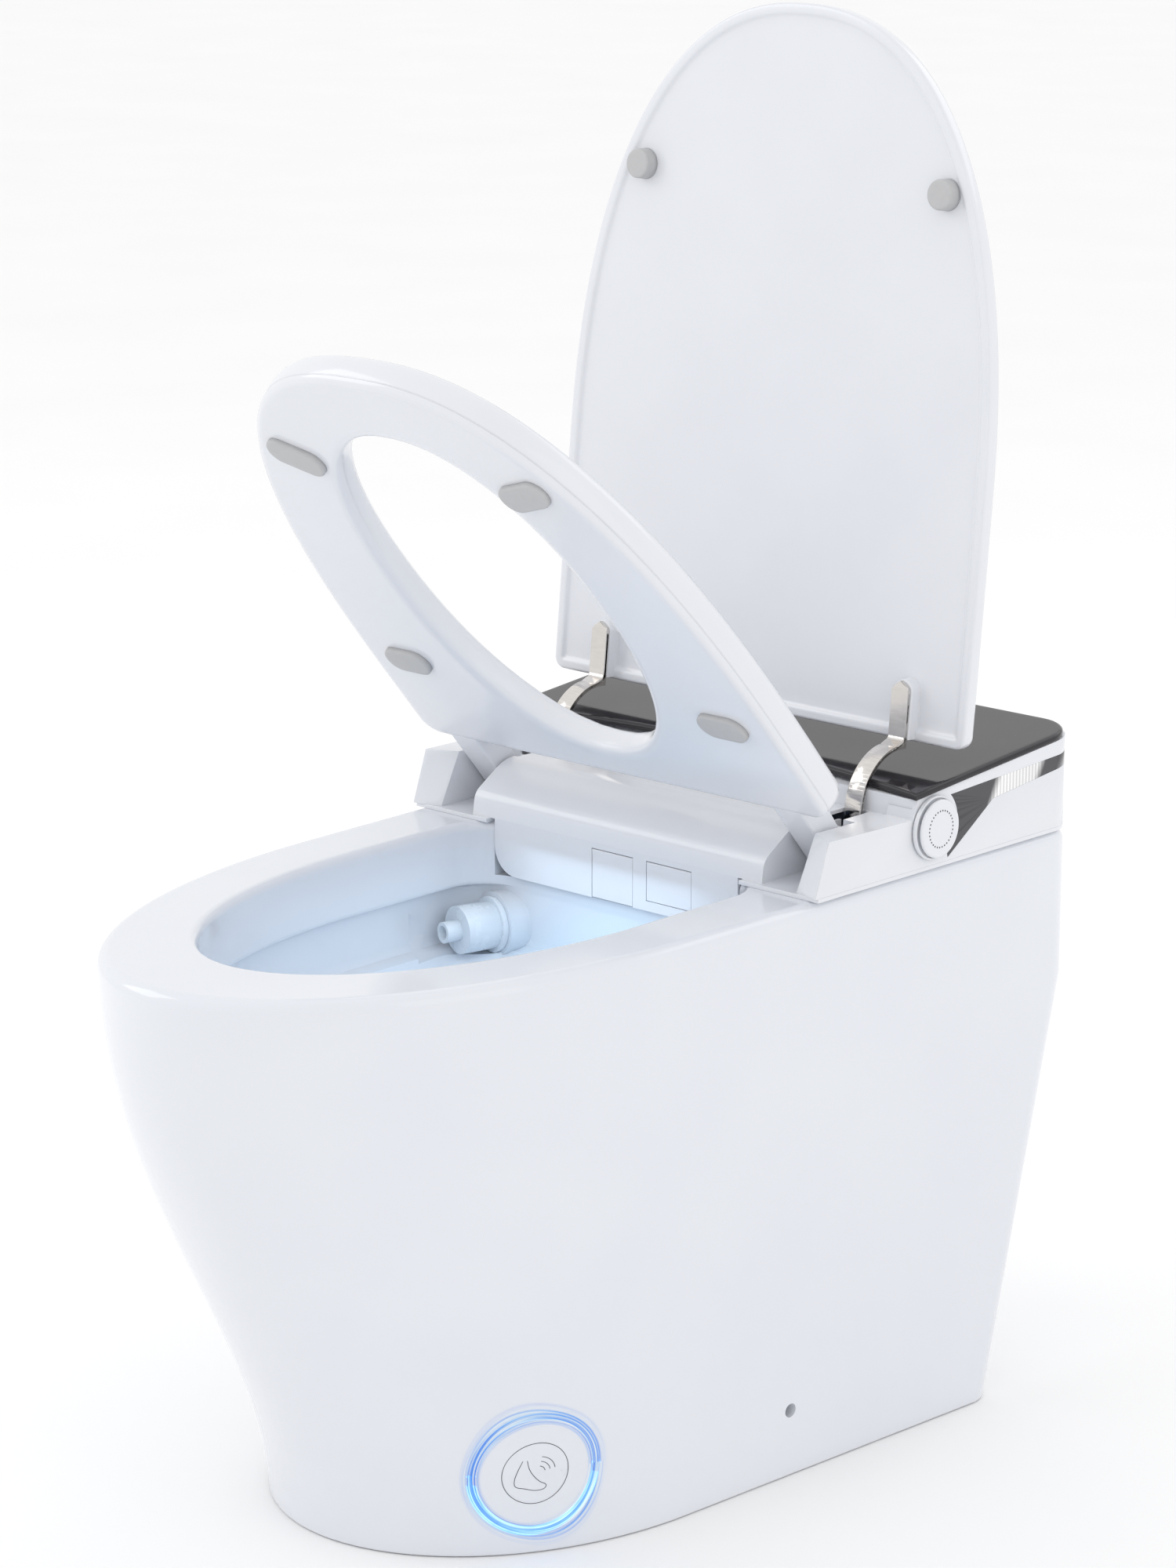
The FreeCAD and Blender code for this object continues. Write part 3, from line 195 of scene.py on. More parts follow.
# ------------------------------------------------------------------ materials
def node_material(name):
    material = bpy.data.materials.new(name)
    material.use_nodes = True
    tree = material.node_tree
    shader = tree.nodes["Principled BSDF"]
    return material, tree, shader


def object_noise(tree, scale, detail=3.0, stretch=(1, 1, 1)):
    """Noise over the object's own coordinates."""
    place = tree.nodes.new("ShaderNodeTexCoord")
    mapping = tree.nodes.new("ShaderNodeMapping")
    mapping.inputs["Scale"].default_value = stretch
    noise = tree.nodes.new("ShaderNodeTexNoise")
    noise.inputs["Scale"].default_value = scale
    noise.inputs["Detail"].default_value = detail
    tree.links.new(place.outputs["Object"], mapping.inputs["Vector"])
    tree.links.new(mapping.outputs["Vector"], noise.inputs["Vector"])
    return noise


def ramp(tree, source, stops):
    """Colour ramp fed by a value: stops are (place, colour) pairs."""
    node = tree.nodes.new("ShaderNodeValToRGB")
    elements = node.color_ramp.elements
    while len(elements) > 2:
        elements.remove(elements[-1])
    for element, (place, colour) in zip(elements, stops):
        element.position, element.color = place, (*colour, 1)
    for place, colour in stops[2:]:
        element = elements.new(place)
        element.color = (*colour, 1)
    tree.links.new(source, node.inputs["Fac"])
    return node


def grey(value):
    return (value, value, value)


def mottled(name, colour, variation, roughness, spread, scale=60, bump=0.0, bump_scale=800,
            metallic=0.0, coat=0.0, stretch=(1, 1, 1), specular=0.5, coat_roughness=0.03):
    """Material with noise in its colour, its roughness and its surface."""
    material, tree, shader = node_material(name)
    noise = object_noise(tree, scale, 3, stretch)
    dark = tuple(max(c - variation, 0) for c in colour)
    light = tuple(min(c + variation, 1) for c in colour)
    colours = ramp(tree, noise.outputs["Fac"], [(0.3, dark), (0.7, light)])
    tree.links.new(colours.outputs["Color"], shader.inputs["Base Color"])
    rough = ramp(tree, noise.outputs["Fac"],
                 [(0.3, grey(roughness - spread)), (0.7, grey(roughness + spread))])
    tree.links.new(rough.outputs["Color"], shader.inputs["Roughness"])
    shader.inputs["Metallic"].default_value = metallic
    shader.inputs["Coat Weight"].default_value = coat
    shader.inputs["Coat Roughness"].default_value = coat_roughness
    shader.inputs["Specular IOR Level"].default_value = specular
    if bump:
        fine = object_noise(tree, bump_scale, 2, stretch)
        relief = tree.nodes.new("ShaderNodeBump")
        relief.inputs["Strength"].default_value = bump
        relief.inputs["Distance"].default_value = 0.0002
        tree.links.new(fine.outputs["Fac"], relief.inputs["Height"])
        tree.links.new(relief.outputs["Normal"], shader.inputs["Normal"])
    return material


def glaze():
    """White glaze with a painted faint blue glow where the night light washes over the bowl."""
    material, tree, shader = node_material("glazed_ceramic")
    noise = object_noise(tree, 9, 2)
    skin = ramp(tree, noise.outputs["Fac"], [(0.3, (0.745, 0.765, 0.815)),
                                            (0.7, (0.765, 0.785, 0.83))])
    place = tree.nodes.new("ShaderNodeTexCoord")
    # distance from a point above the sump tells the bowl from the rest
    offset = tree.nodes.new("ShaderNodeMapping")
    offset.inputs["Location"].default_value = (0, 0.105 / 0.255, -0.300 / 0.112)
    offset.inputs["Scale"].default_value = (1 / 0.142, 1 / 0.255, 1 / 0.112)
    tree.links.new(place.outputs["Object"], offset.inputs["Vector"])
    reach = tree.nodes.new("ShaderNodeVectorMath")
    reach.operation = "LENGTH"
    tree.links.new(offset.outputs["Vector"], reach.inputs[0])
    # painted glow: night-light blue mixed into the base colour over the bowl
    wash = ramp(tree, reach.outputs["Value"], [(0.70, grey(1)), (1.0, grey(0))])
    mix = tree.nodes.new("ShaderNodeMix")
    mix.data_type = "RGBA"
    mix.inputs["B"].default_value = (0.76, 0.86, 0.96, 1)
    tree.links.new(skin.outputs["Color"], mix.inputs["A"])
    tree.links.new(wash.outputs["Color"], mix.inputs["Factor"])
    tree.links.new(mix.outputs["Result"], shader.inputs["Base Color"])
    rough = ramp(tree, noise.outputs["Fac"], [(0.3, grey(0.10)), (0.7, grey(0.15))])
    tree.links.new(rough.outputs["Color"], shader.inputs["Roughness"])
    shader.inputs["Coat Weight"].default_value = 0.35
    shader.inputs["Coat Roughness"].default_value = 0.04
    orange_peel = object_noise(tree, 35, 1)
    relief = tree.nodes.new("ShaderNodeBump")
    relief.inputs["Strength"].default_value = 0.05
    relief.inputs["Distance"].default_value = 0.0004
    tree.links.new(orange_peel.outputs["Fac"], relief.inputs["Height"])
    tree.links.new(relief.outputs["Normal"], shader.inputs["Normal"])
    return material


def trim_material():
    """Dark mirror band with a painted reflection: one light ribbed stretch."""
    material, tree, shader = node_material("smoked_trim")
    place = tree.nodes.new("ShaderNodeTexCoord")
    parts = tree.nodes.new("ShaderNodeSeparateXYZ")
    tree.links.new(place.outputs["Object"], parts.inputs["Vector"])
    lean = tree.nodes.new("ShaderNodeMath")
    lean.operation = "MULTIPLY_ADD"          # the painted reflection leans with the band
    lean.inputs[1].default_value = -0.5
    tree.links.new(parts.outputs["Z"], lean.inputs[0])
    tree.links.new(parts.outputs["Y"], lean.inputs[2])
    place_y = tree.nodes.new("ShaderNodeMapRange")
    place_y.inputs["From Min"].default_value = 0.155 - 0.228
    place_y.inputs["From Max"].default_value = 0.285 - 0.228
    tree.links.new(lean.outputs["Value"], place_y.inputs["Value"])
    # painted reflection: a light ribbed stretch mixed into the dark band's base colour
    painted_reflection = ramp(tree, place_y.outputs["Result"],
                  [(0.30, grey(0)), (0.36, grey(1)), (0.66, grey(0.9)), (0.72, grey(0))])
    wave = tree.nodes.new("ShaderNodeTexWave")
    wave.bands_direction = "Y"
    wave.inputs["Scale"].default_value = 90
    wave.inputs["Distortion"].default_value = 0.4
    tree.links.new(place.outputs["Object"], wave.inputs["Vector"])
    ribs = ramp(tree, wave.outputs["Fac"], [(0.2, grey(0.72)), (0.8, grey(0.98))])
    mix = tree.nodes.new("ShaderNodeMix")
    mix.data_type = "RGBA"
    mix.inputs["A"].default_value = (0.055, 0.055, 0.062, 1)
    tree.links.new(ribs.outputs["Color"], mix.inputs["B"])
    tree.links.new(painted_reflection.outputs["Color"], mix.inputs["Factor"])
    tree.links.new(mix.outputs["Result"], shader.inputs["Base Color"])
    noise = object_noise(tree, 40, 2)
    rough = ramp(tree, noise.outputs["Fac"], [(0.3, grey(0.07)), (0.7, grey(0.13))])
    tree.links.new(rough.outputs["Color"], shader.inputs["Roughness"])
    shader.inputs["Metallic"].default_value = 0.55
    shader.inputs["Coat Weight"].default_value = 0.6
    return material


def glowing(name, colour, strength, scale=80):
    """Light guide: emission with a soft mottle."""
    material, tree, shader = node_material(name)
    noise = object_noise(tree, scale, 2)
    tint = ramp(tree, noise.outputs["Fac"],
                [(0.3, tuple(c * 0.8 for c in colour)), (0.7, colour)])
    tree.links.new(tint.outputs["Color"], shader.inputs["Base Color"])
    tree.links.new(tint.outputs["Color"], shader.inputs["Emission Color"])
    shader.inputs["Emission Strength"].default_value = strength
    shader.inputs["Roughness"].default_value = 0.25
    return material


MATERIALS = {
    "glazed_ceramic": glaze(),
    "white_plastic": mottled("white_plastic", (0.765, 0.78, 0.82), 0.008, 0.17, 0.03, 14, 0.03,
                             900, coat=0.25),
    "smoked_glass": mottled("smoked_glass", (0.030, 0.028, 0.032), 0.004, 0.06, 0.02, 20,
                            specular=0.28),
    "smoked_trim": trim_material(),
    "polished_metal": mottled("polished_metal", (0.70, 0.67, 0.64), 0.03, 0.13, 0.04, 90,
                              0.05, 500, metallic=1.0, stretch=(1, 6, 6)),
    "steel": mottled("steel", (0.62, 0.63, 0.65), 0.04, 0.30, 0.06, 150, 0.15, 900,
                     metallic=1.0, stretch=(1, 8, 8)),
    "motor_metal": mottled("motor_metal", (0.45, 0.46, 0.48), 0.04, 0.38, 0.06, 120, 0.15, 700,
                           metallic=1.0),
    "brass": mottled("brass", (0.72, 0.56, 0.28), 0.05, 0.28, 0.06, 120, 0.1, 700, metallic=1.0),
    "bumper_rubber": mottled("bumper_rubber", (0.50, 0.50, 0.505), 0.012, 0.55, 0.06, 200, 0.2,
                             1500),
    "rubber": mottled("rubber", (0.045, 0.045, 0.05), 0.01, 0.6, 0.08, 150, 0.25, 1200),
    "spout_plastic": mottled("spout_plastic", (0.78, 0.84, 0.90), 0.012, 0.26, 0.04, 60, 0.08,
                             900),
    "dark_plastic": mottled("dark_plastic", (0.06, 0.063, 0.07), 0.012, 0.5, 0.08, 150, 0.25,
                            1300),
    "light_guide": glowing("light_guide", (0.35, 0.62, 1.0), 1.1),
    "sensor_window": mottled("sensor_window", (0.755, 0.775, 0.82), 0.008, 0.14, 0.03, 30),
    "copper_foil": mottled("copper_foil", (0.72, 0.42, 0.28), 0.05, 0.35, 0.08, 100,
                           metallic=1.0),
    "board_green": mottled("board_green", (0.05, 0.20, 0.11), 0.03, 0.4, 0.08, 220),
}


def paint(thing, slot):
    """Give every face of a thing the material of a slot."""
    thing.data.materials.clear()
    thing.data.materials.append(MATERIALS[slot])


def finish_piece(thing, body, slot, *nodes):
    """A new piece rides a body, takes a slot's finish and may stand for CAD nodes."""
    paint(thing, slot)
    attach(thing, body)
    if nodes:
        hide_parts(*nodes)
    return thing


# ------------------------------------------------------------------ carried-over CAD nodes
slots = {row["node"]: row["material_slot"] for row in frame["record"]["subparts"]}
EDGE = {"side_cover": 1.0, "deck_panel": 1.6, "front_skirt": 0.5, "nozzle_door": 0.4,
        "dryer_flap": 0.4, "unit_base_plate": 0.4, "side_trim_left": 0.3,
        "side_trim_right": 0.3, "water_tank": 2.0, "pump": 1.0}
for node, thing in frame["nodes"].items():
    for place in thing.material_slots:
        place.material = MATERIALS[slots[node]]
    if node == "side_cover":
        flats = thing.modifiers.new("flats", "DECIMATE")     # its big flat faces shade as one
        flats.decimate_type, flats.angle_limit = "DISSOLVE", math.radians(0.5)
    if node not in ("ceramic_pedestal", "wand_hose", "heater_hose", "flush_hose"):
        soften(thing, EDGE.get(node, 0.5), 2)


# ------------------------------------------------------------------ ceramic pedestal
RIM_Z, LEAN_Z = 410.0, 305.0
RIM = dict(half=181.5, centre=-90, length=320, rear_half=190, rear_y=290)
FOOT = dict(half=156.5, centre=-60, length=207, rear_half=177, rear_y=230)


def front_ease(z):
    """Share of the way from rim plan to floor plan: the flank is a long soft S."""
    return (1 + math.cos(math.pi * min(max(z / RIM_Z, 0), 1) ** 0.87)) / 2


def pedestal_plan(z, inset=0.0):
    ease, lean = front_ease(z), max(0.0, (LEAN_Z - z) / LEAN_Z)
    return rounded_plan(
        blend(RIM["half"], FOOT["half"], ease) - inset,
        blend(RIM["centre"], FOOT["centre"], ease),
        blend(RIM["length"], FOOT["length"], ease) - inset,
        blend(RIM["rear_half"], FOOT["rear_half"], lean) - inset,
        blend(RIM["rear_y"], FOOT["rear_y"], lean) - inset, 25 - min(inset, 15), z)


def flank(height, across):
    ease = front_ease(height)
    half, length = (blend(RIM[k], FOOT[k], ease) for k in ("half", "length"))
    centre = blend(RIM["centre"], FOOT["centre"], ease)
    return Vector((across, centre - length * math.sqrt(1 - (across / half) ** 2), height))


SENSOR_X, SENSOR_Z = 125.8, 58.5
sensor = flank(SENSOR_Z, SENSOR_X)
sensor_right = (flank(SENSOR_Z, SENSOR_X + 1) - flank(SENSOR_Z, SENSOR_X - 1)).normalized()
sensor_out = sensor_right.cross(flank(SENSOR_Z + 1, SENSOR_X)
                                - flank(SENSOR_Z - 1, SENSOR_X)).normalized()
sensor_up = sensor_out.cross(sensor_right)
SPOUT = Vector((-115, -7, 338))
SPOUT_AXIS = Vector((-0.25, -0.97, 0)).normalized()


def bowl_ring(half, length, centre_y, rear_y, corner, z):
    return rounded_plan(half, centre_y, length, half, rear_y, corner, z)


def bowl_cutter():
    """Space in the bowl: rounded lip, upright wall, flush channel and funnel."""
    rings = [bowl_ring(138, 247, -100, 34, 38, 412)]
    for step in range(7):
        angle = math.radians(90 - 15 * step)
        grow = 6 * (1 - math.cos(angle))
        rings.append(bowl_ring(128 + grow, 237 + grow, -100, 24 + grow, 32 + grow,
                               404 + 6 * math.sin(angle)))
    for grow, rear, corner, z in ((0, 24, 32, 368), (1.5, 24.2, 32, 365), (9, 24.8, 32, 364),
                                  (12, 25, 32, 361), (12, 25, 32, 330), (9, 23, 34, 324),
                                  (0, 17, 48, 321)):
        rings.append(bowl_ring(128 + grow, 237 + grow, -100, rear, corner, z))
    for half, length, centre, rear, corner, z in ((102, 182, -90, -6, 60, 250),
                                                  (66, 105, -75, -5, 50, 185),
                                                  (46, 62, -64, -16, 36, 150),
                                                  (30, 40, -62, -28, 24, 140)):
        rings.append(bowl_ring(half, length, centre, rear, min(corner, rear - centre - 1), z))
    return loft("bowl_cutter", rings)


def build_ceramic():
    levels = [pedestal_plan(0.0, 2.0), pedestal_plan(0.6, 0.6), pedestal_plan(2.0)]
    levels += [pedestal_plan(z) for z in (10, 20, 30, 40, 50, 60, 80, 100, 120, 140, 160, 180,
                                          200, 220, 240, 260, 280, 292, 300, 305, 310, 318, 330,
                                          345, 360, 375, 390, 398)]
    for step in range(0, 9):
        angle = math.radians(90 / 8 * step)
        levels.append(pedestal_plan(401 + 9 * math.sin(angle), 9 * (1 - math.cos(angle))))
    ceramic = loft("ceramic", levels)
    cutters = [bowl_cutter(),
               block("bay", (-165, 165), (52, 270), (290, 430)),
               block("skirt_notch", (-113, 113), (18, 65), (372, 430)),
               block("service", (-150, -90), (262, 330), (300, 360)),
               lathe("gland_hole", (120, 262, 335), (0, 1, 0), [(0, 11.1), (60, 11.1)], 40),
               lathe("outlet_hole", (0, 0, -5), (0, 0, 1), [(0, 45), (50, 45)], 64),
               lathe("spout_seat", SPOUT - SPOUT_AXIS * 22, SPOUT_AXIS, [(0, 20.3), (60, 20.3)],
                     64)]
    for side in (-1, 1):
        cutters.append(lathe(f"fixing_{side}", (side * 130, 16.6, 48.5), (side, 0, 0),
                             [(0, 5), (60, 5)], 32))
    boss = lathe("spout_boss", SPOUT - SPOUT_AXIS * 60, SPOUT_AXIS, [(0, 23), (38, 23)], 64)
    carve(cutters[0], boss)
    carve(ceramic, *cutters)
    return sharpen(ceramic, 38)


finish_piece(build_ceramic(), "base", "glazed_ceramic", "ceramic_pedestal")


# ------------------------------------------------------------------ seat
SEAT_AXIS, SEAT_RAISED = (71, 424), 49.5
HOLE_CENTRE = Vector((0, -172))


def seat_outline(inset):
    return [(x, y) for x, y, _ in rounded_plan(186 - inset, -45, 338 - inset, 186 - inset,
                                               14 - inset, max(16 - inset, 2), 0, 2.45)]


def reach(outline, angle):
    """Point of a closed outline that a ray from the centre of the hole meets."""
    ray = Vector((math.cos(angle), math.sin(angle)))
    best = None
    for (ax, ay), (bx, by) in zip(outline, outline[1:] + outline[:1]):
        a, b = Vector((ax, ay)) - HOLE_CENTRE, Vector((bx, by)) - HOLE_CENTRE
        side = b - a
        bottom = ray.x * side.y - ray.y * side.x
        if abs(bottom) < 1e-9:
            continue
        far = (a.x * side.y - a.y * side.x) / bottom
        along = (a.x * ray.y - a.y * ray.x) / bottom
        if far > 0 and -1e-6 <= along <= 1 + 1e-6:
            best = far if best is None else min(best, far)
    return HOLE_CENTRE + ray * best


def hole_point(grow, angle):
    """Point of the egg-shaped hole: a super-ellipse, a little fuller than an ellipse."""
    half, length, power = 97 + grow, 156 + grow, 2.15
    cosine, sine = math.cos(angle), math.sin(angle)
    radius = (abs(cosine / half) ** power + abs(sine / length) ** power) ** (-1 / power)
    return HOLE_CENTRE + Vector((cosine, sine)) * radius


def build_seat():
    base = seat_outline(0)
    angles = sorted(math.atan2(y - HOLE_CENTRE.y, x - HOLE_CENTRE.x) for x, y in base)
    under = 414.2
    rings = []
    for grow, z in ((9, 414.2), (5.5, 414.4), (2.6, 415.4), (0.9, 417.4), (0.2, 420.5), (0, 425),
                    (0.6, 429.5), (2.6, 433.2), (6.5, 436.2), (12, 438.4), (20, 440),
                    (30, 440.5)):
        rings.append([(*hole_point(grow, a), z) for a in angles])
    for inset, z in ((14, 440.5), (8, 440.1), (4.4, 438.6), (1.9, 435.9), (0.5, 432.4),
                     (0, 428), (0.3, 423.5), (0.9, 420.1), (1.5, 419.7), (1.5, 419.2),
                     (1.0, 418.8), (1.6, 416.9), (3.0, 415.2), (5.2, 414.4), (8, under)):
        outline = seat_outline(inset)
        rings.append([(*reach(outline, a), z) for a in angles])
    seat = loft("seat_ring", rings, wrap=True)
    sharpen(seat, 60)
    return seat


def build_lug(side):
    """Hinge lug: a web that runs from the seat's rear edge round the pin."""
    y, z = SEAT_AXIS
    outline = [(2, 415.2), (12, 414.6)]
    outline += [(y + 9.5 * math.cos(math.radians(a)), z + 9.5 * math.sin(math.radians(a)))
                for a in range(-90, 91, 12)]
    outline += [(44, 434.6), (24, 436.2), (10, 437.5), (2, 437.8)]
    return prism(f"seat_lug_{'left' if side > 0 else 'right'}", outline,
                 lambda u, v, depth: (side * depth, u, v), 136, 160.5, 1.6)


seat_ring = swing(build_seat(), *SEAT_AXIS, SEAT_RAISED)
finish_piece(seat_ring, "seat", "white_plastic", "seat_upper_shell", "seat_lower_shell",
             "seat_heater")
for side in (-1, 1):
    finish_piece(swing(build_lug(side), *SEAT_AXIS, SEAT_RAISED), "seat", "white_plastic")


def stadium(half_length, radius, count=12):
    outline = []
    for end in (1, -1):
        for i in range(count + 1):
            angle = math.pi * (i / count - 0.5) + (0 if end > 0 else math.pi)
            outline.append((end * half_length + radius * math.cos(angle),
                            radius * math.sin(angle)))
    return outline


def build_pad(x, y, half_length, radius, turn, tag):
    """Seat bumper: a flat oval with a soft edge."""
    rings = []
    angle = math.radians(turn)
    for inset, z in ((0, 414.6), (0, 411.6), (0.4, 410.9), (1.3, 410.5), (2.4, 410.4)):
        ring = []
        for u, v in stadium(half_length, radius - inset):
            ring.append((x + u * math.cos(angle) - v * math.sin(angle),
                         y + u * math.sin(angle) + v * math.cos(angle), z))
        rings.append(ring)
    return loft(f"seat_pad_{tag}", rings)


first = True
for x, y, half_length, radius, turn, name in ((102, -296, 12, 11, -20, "front"),
                                              (143, -78, 9, 11, 0, "rear")):
    for side, tag in ((-1, "right"), (1, "left")):
        pad = build_pad(side * x, y, half_length, radius, side * turn, f"{name}_{tag}")
        swing(pad, *SEAT_AXIS, SEAT_RAISED)
        finish_piece(pad, "seat", "bumper_rubber", *(["seat_bumpers"] if first else []))
        first = False


# ------------------------------------------------------------------ lid
LID_AXIS, LID_OPEN = (147, 444), 95.75


def lid_outline(inset, z):
    return rounded_plan(188.5 - inset, -63, 320 - inset, 188.5 - inset, 104 - inset,
                        max(9 - inset, 1.5), z, 2.3)


def build_lid():
    """Lid: thin shell with a raised rim round its inner face and a softly crowned back."""
    rings = []
    for inset, z in ((60, 455.5), (16, 455.5), (10.5, 455.4), (8.6, 454.8), (7.6, 453.8),
                     (6.4, 453.1), (5.0, 453.0), (2.2, 453.0), (0.8, 453.4), (0.1, 454.6),
                     (0, 456.5), (0, 460.5), (0.7, 463.2), (2.4, 465.1), (5.2, 466.0),
                     (12, 466.4), (40, 467.0), (90, 467.3)):
        rings.append(lid_outline(inset, z))
    return sharpen(loft("lid_panel", rings), 60)


def build_pad_block(side):
    """White stand-off under the end of a hinge arm."""
    x = side * 138
    rings = []
    foot = 446.8
    for inset, z in ((1.6, foot), (0.7, foot + 0.3), (0.15, foot + 1.0), (0, foot + 2),
                     (-0.8, 455.0), (-2.2, 456)):
        ring = []
        for i in range(25):
            angle = math.pi * i / 24
            ring.append((x + (8 - inset) * math.cos(angle), 70 - (8 - inset) * math.sin(angle),
                         z))
        ring.append((x - (8 - inset), 102.5, z))
        ring.append((x + (8 - inset), 102.5, z))
        rings.append(ring)
    return sharpen(loft(f"lid_stand_off_{'left' if side > 0 else 'right'}", rings), 50)


def build_arm(side):
    """Polished arm: a rounded strip on the lid, then an arc down to the hinge hub."""
    y, z = LID_AXIS
    path = [(62.8 + i * 4.0, 445.2) for i in range(9)]
    path += [(99.5 + 6 * math.sin(math.radians(a)), 439.2 + 6 * math.cos(math.radians(a)))
             for a in range(0, 76, 15)]
    radius = 40
    path += [(y + radius * math.cos(math.radians(a)), z + radius * math.sin(math.radians(a)))
             for a in range(192, 297, 4)]
    length = 0.0
    rings = []
    for i, point in enumerate(path):
        before, after = path[max(i - 1, 0)], path[min(i + 1, len(path) - 1)]
        along = Vector((after[0] - before[0], after[1] - before[1])).normalized()
        across = Vector((-along.y, along.x))
        if i:
            length += (Vector(point) - Vector(path[i - 1])).length
        half = 7.0 if length >= 7 else max(math.sqrt(max(49 - (7 - length) ** 2, 0)), 0.6)
        thick = 1.5
        section = []
        for u, v in ((-half, -0.8), (-half, 0.8), (-half + 0.35, 1.35), (-half + 0.9, thick),
                     (half - 0.9, thick), (half - 0.35, 1.35), (half, 0.8), (half, -0.8),
                     (half - 0.35, -1.35), (half - 0.9, -thick), (-half + 0.9, -thick),
                     (-half + 0.35, -1.35)):
            if half < 0.95:
                u = math.copysign(half * 0.6, u)
            section.append((side * 138 + u, point[0] + across.x * v, point[1] + across.y * v))
        rings.append(section)
    return sharpen(loft(f"hinge_arm_{'left' if side > 0 else 'right'}", rings), 40)


finish_piece(swing(build_lid(), *LID_AXIS, LID_OPEN), "lid", "white_plastic", "lid_shell")
for side in (-1, 1):
    finish_piece(swing(build_pad_block(side), *LID_AXIS, LID_OPEN), "lid", "white_plastic")
    finish_piece(swing(build_arm(side), *LID_AXIS, LID_OPEN), "lid", "polished_metal")
    bumper = lathe(f"lid_bumper_{'left' if side > 0 else 'right'}", (side * 135, -264, 456),
                   (0, 0, -1), [(0, 10.9), (4, 10.6), (9, 10.4), (9.8, 10.1), (10.3, 9.3),
                                (10.4, 8)])
    finish_piece(swing(bumper, *LID_AXIS, LID_OPEN), "lid", "bumper_rubber",
                 *(["lid_bumpers"] if side < 0 else []))

# ------------------------------------------------------------------ glass top
GLASS_SLOPE = 16 / 180


def glass_ring(inset, lift):
    """Outline of the glass at a height above its underside, front edge bowed."""
    front_half, rear_half, radius = 188.9 - inset, 190 - inset, 30 - inset
    outline = []
    for i in range(49):
        x = front_half * (1 - 2 * i / 48)
        outline.append((x, 110 + inset + 20 * (1 - (x / front_half) ** 2)))
    rear = 290 - inset
    for i in range(1, 12):
        outline.append((blend(-front_half, -rear_half, i / 12),
                        blend(110 + inset, rear - radius, i / 12)))
    for a in range(180, 89, -9):
        outline.append((-(rear_half - radius) + radius * math.cos(math.radians(a)),
                        rear - radius + radius * math.sin(math.radians(a))))
    outline += [(-(rear_half - radius) * (1 - i / 8), rear) for i in range(1, 16)]
    for a in range(90, -1, -9):
        outline.append((rear_half - radius + radius * math.cos(math.radians(a)),
                        rear - radius + radius * math.sin(math.radians(a))))
    for i in range(1, 12):
        outline.append((blend(rear_half, front_half, i / 12),
                        blend(rear - radius, 110 + inset, i / 12)))
    return [(x, y, 461 + lift + (y - 110) * GLASS_SLOPE) for x, y in outline]


glass = loft("glass_panel", [glass_ring(i, z) for i, z in (
    (1.2, 0), (0.3, 0.5), (0, 1.2), (0, 3.2), (0.5, 4.1), (1.6, 4.8), (2.4, 5.0), (5, 5.0))])
finish_piece(sharpen(glass, 40), "base", "smoked_glass", "glass_top")

# ------------------------------------------------------------------ seat unit: shells
def side_prism(name, outline, low, high):
    """Solid with an outline in the YZ plane, between two distances along X."""
    return loft(name, [[(x, y, z) for y, z in outline] for x in (low, high)])


def rounded_corner(before, corner, after, radius, steps=5):
    """Points of a soft bend at a corner of an outline."""
    before, corner, after = Vector(before), Vector(corner), Vector(after)
    start = corner + (before - corner).normalized() * radius
    end = corner + (after - corner).normalized() * radius
    points = []
    for i in range(steps + 1):
        t = i / steps
        points.append(tuple(start * (1 - t) ** 2 + corner * 2 * t * (1 - t) + end * t ** 2))
    return points


PLATE_TOP, DECK_TOP = 413.0, 447.0


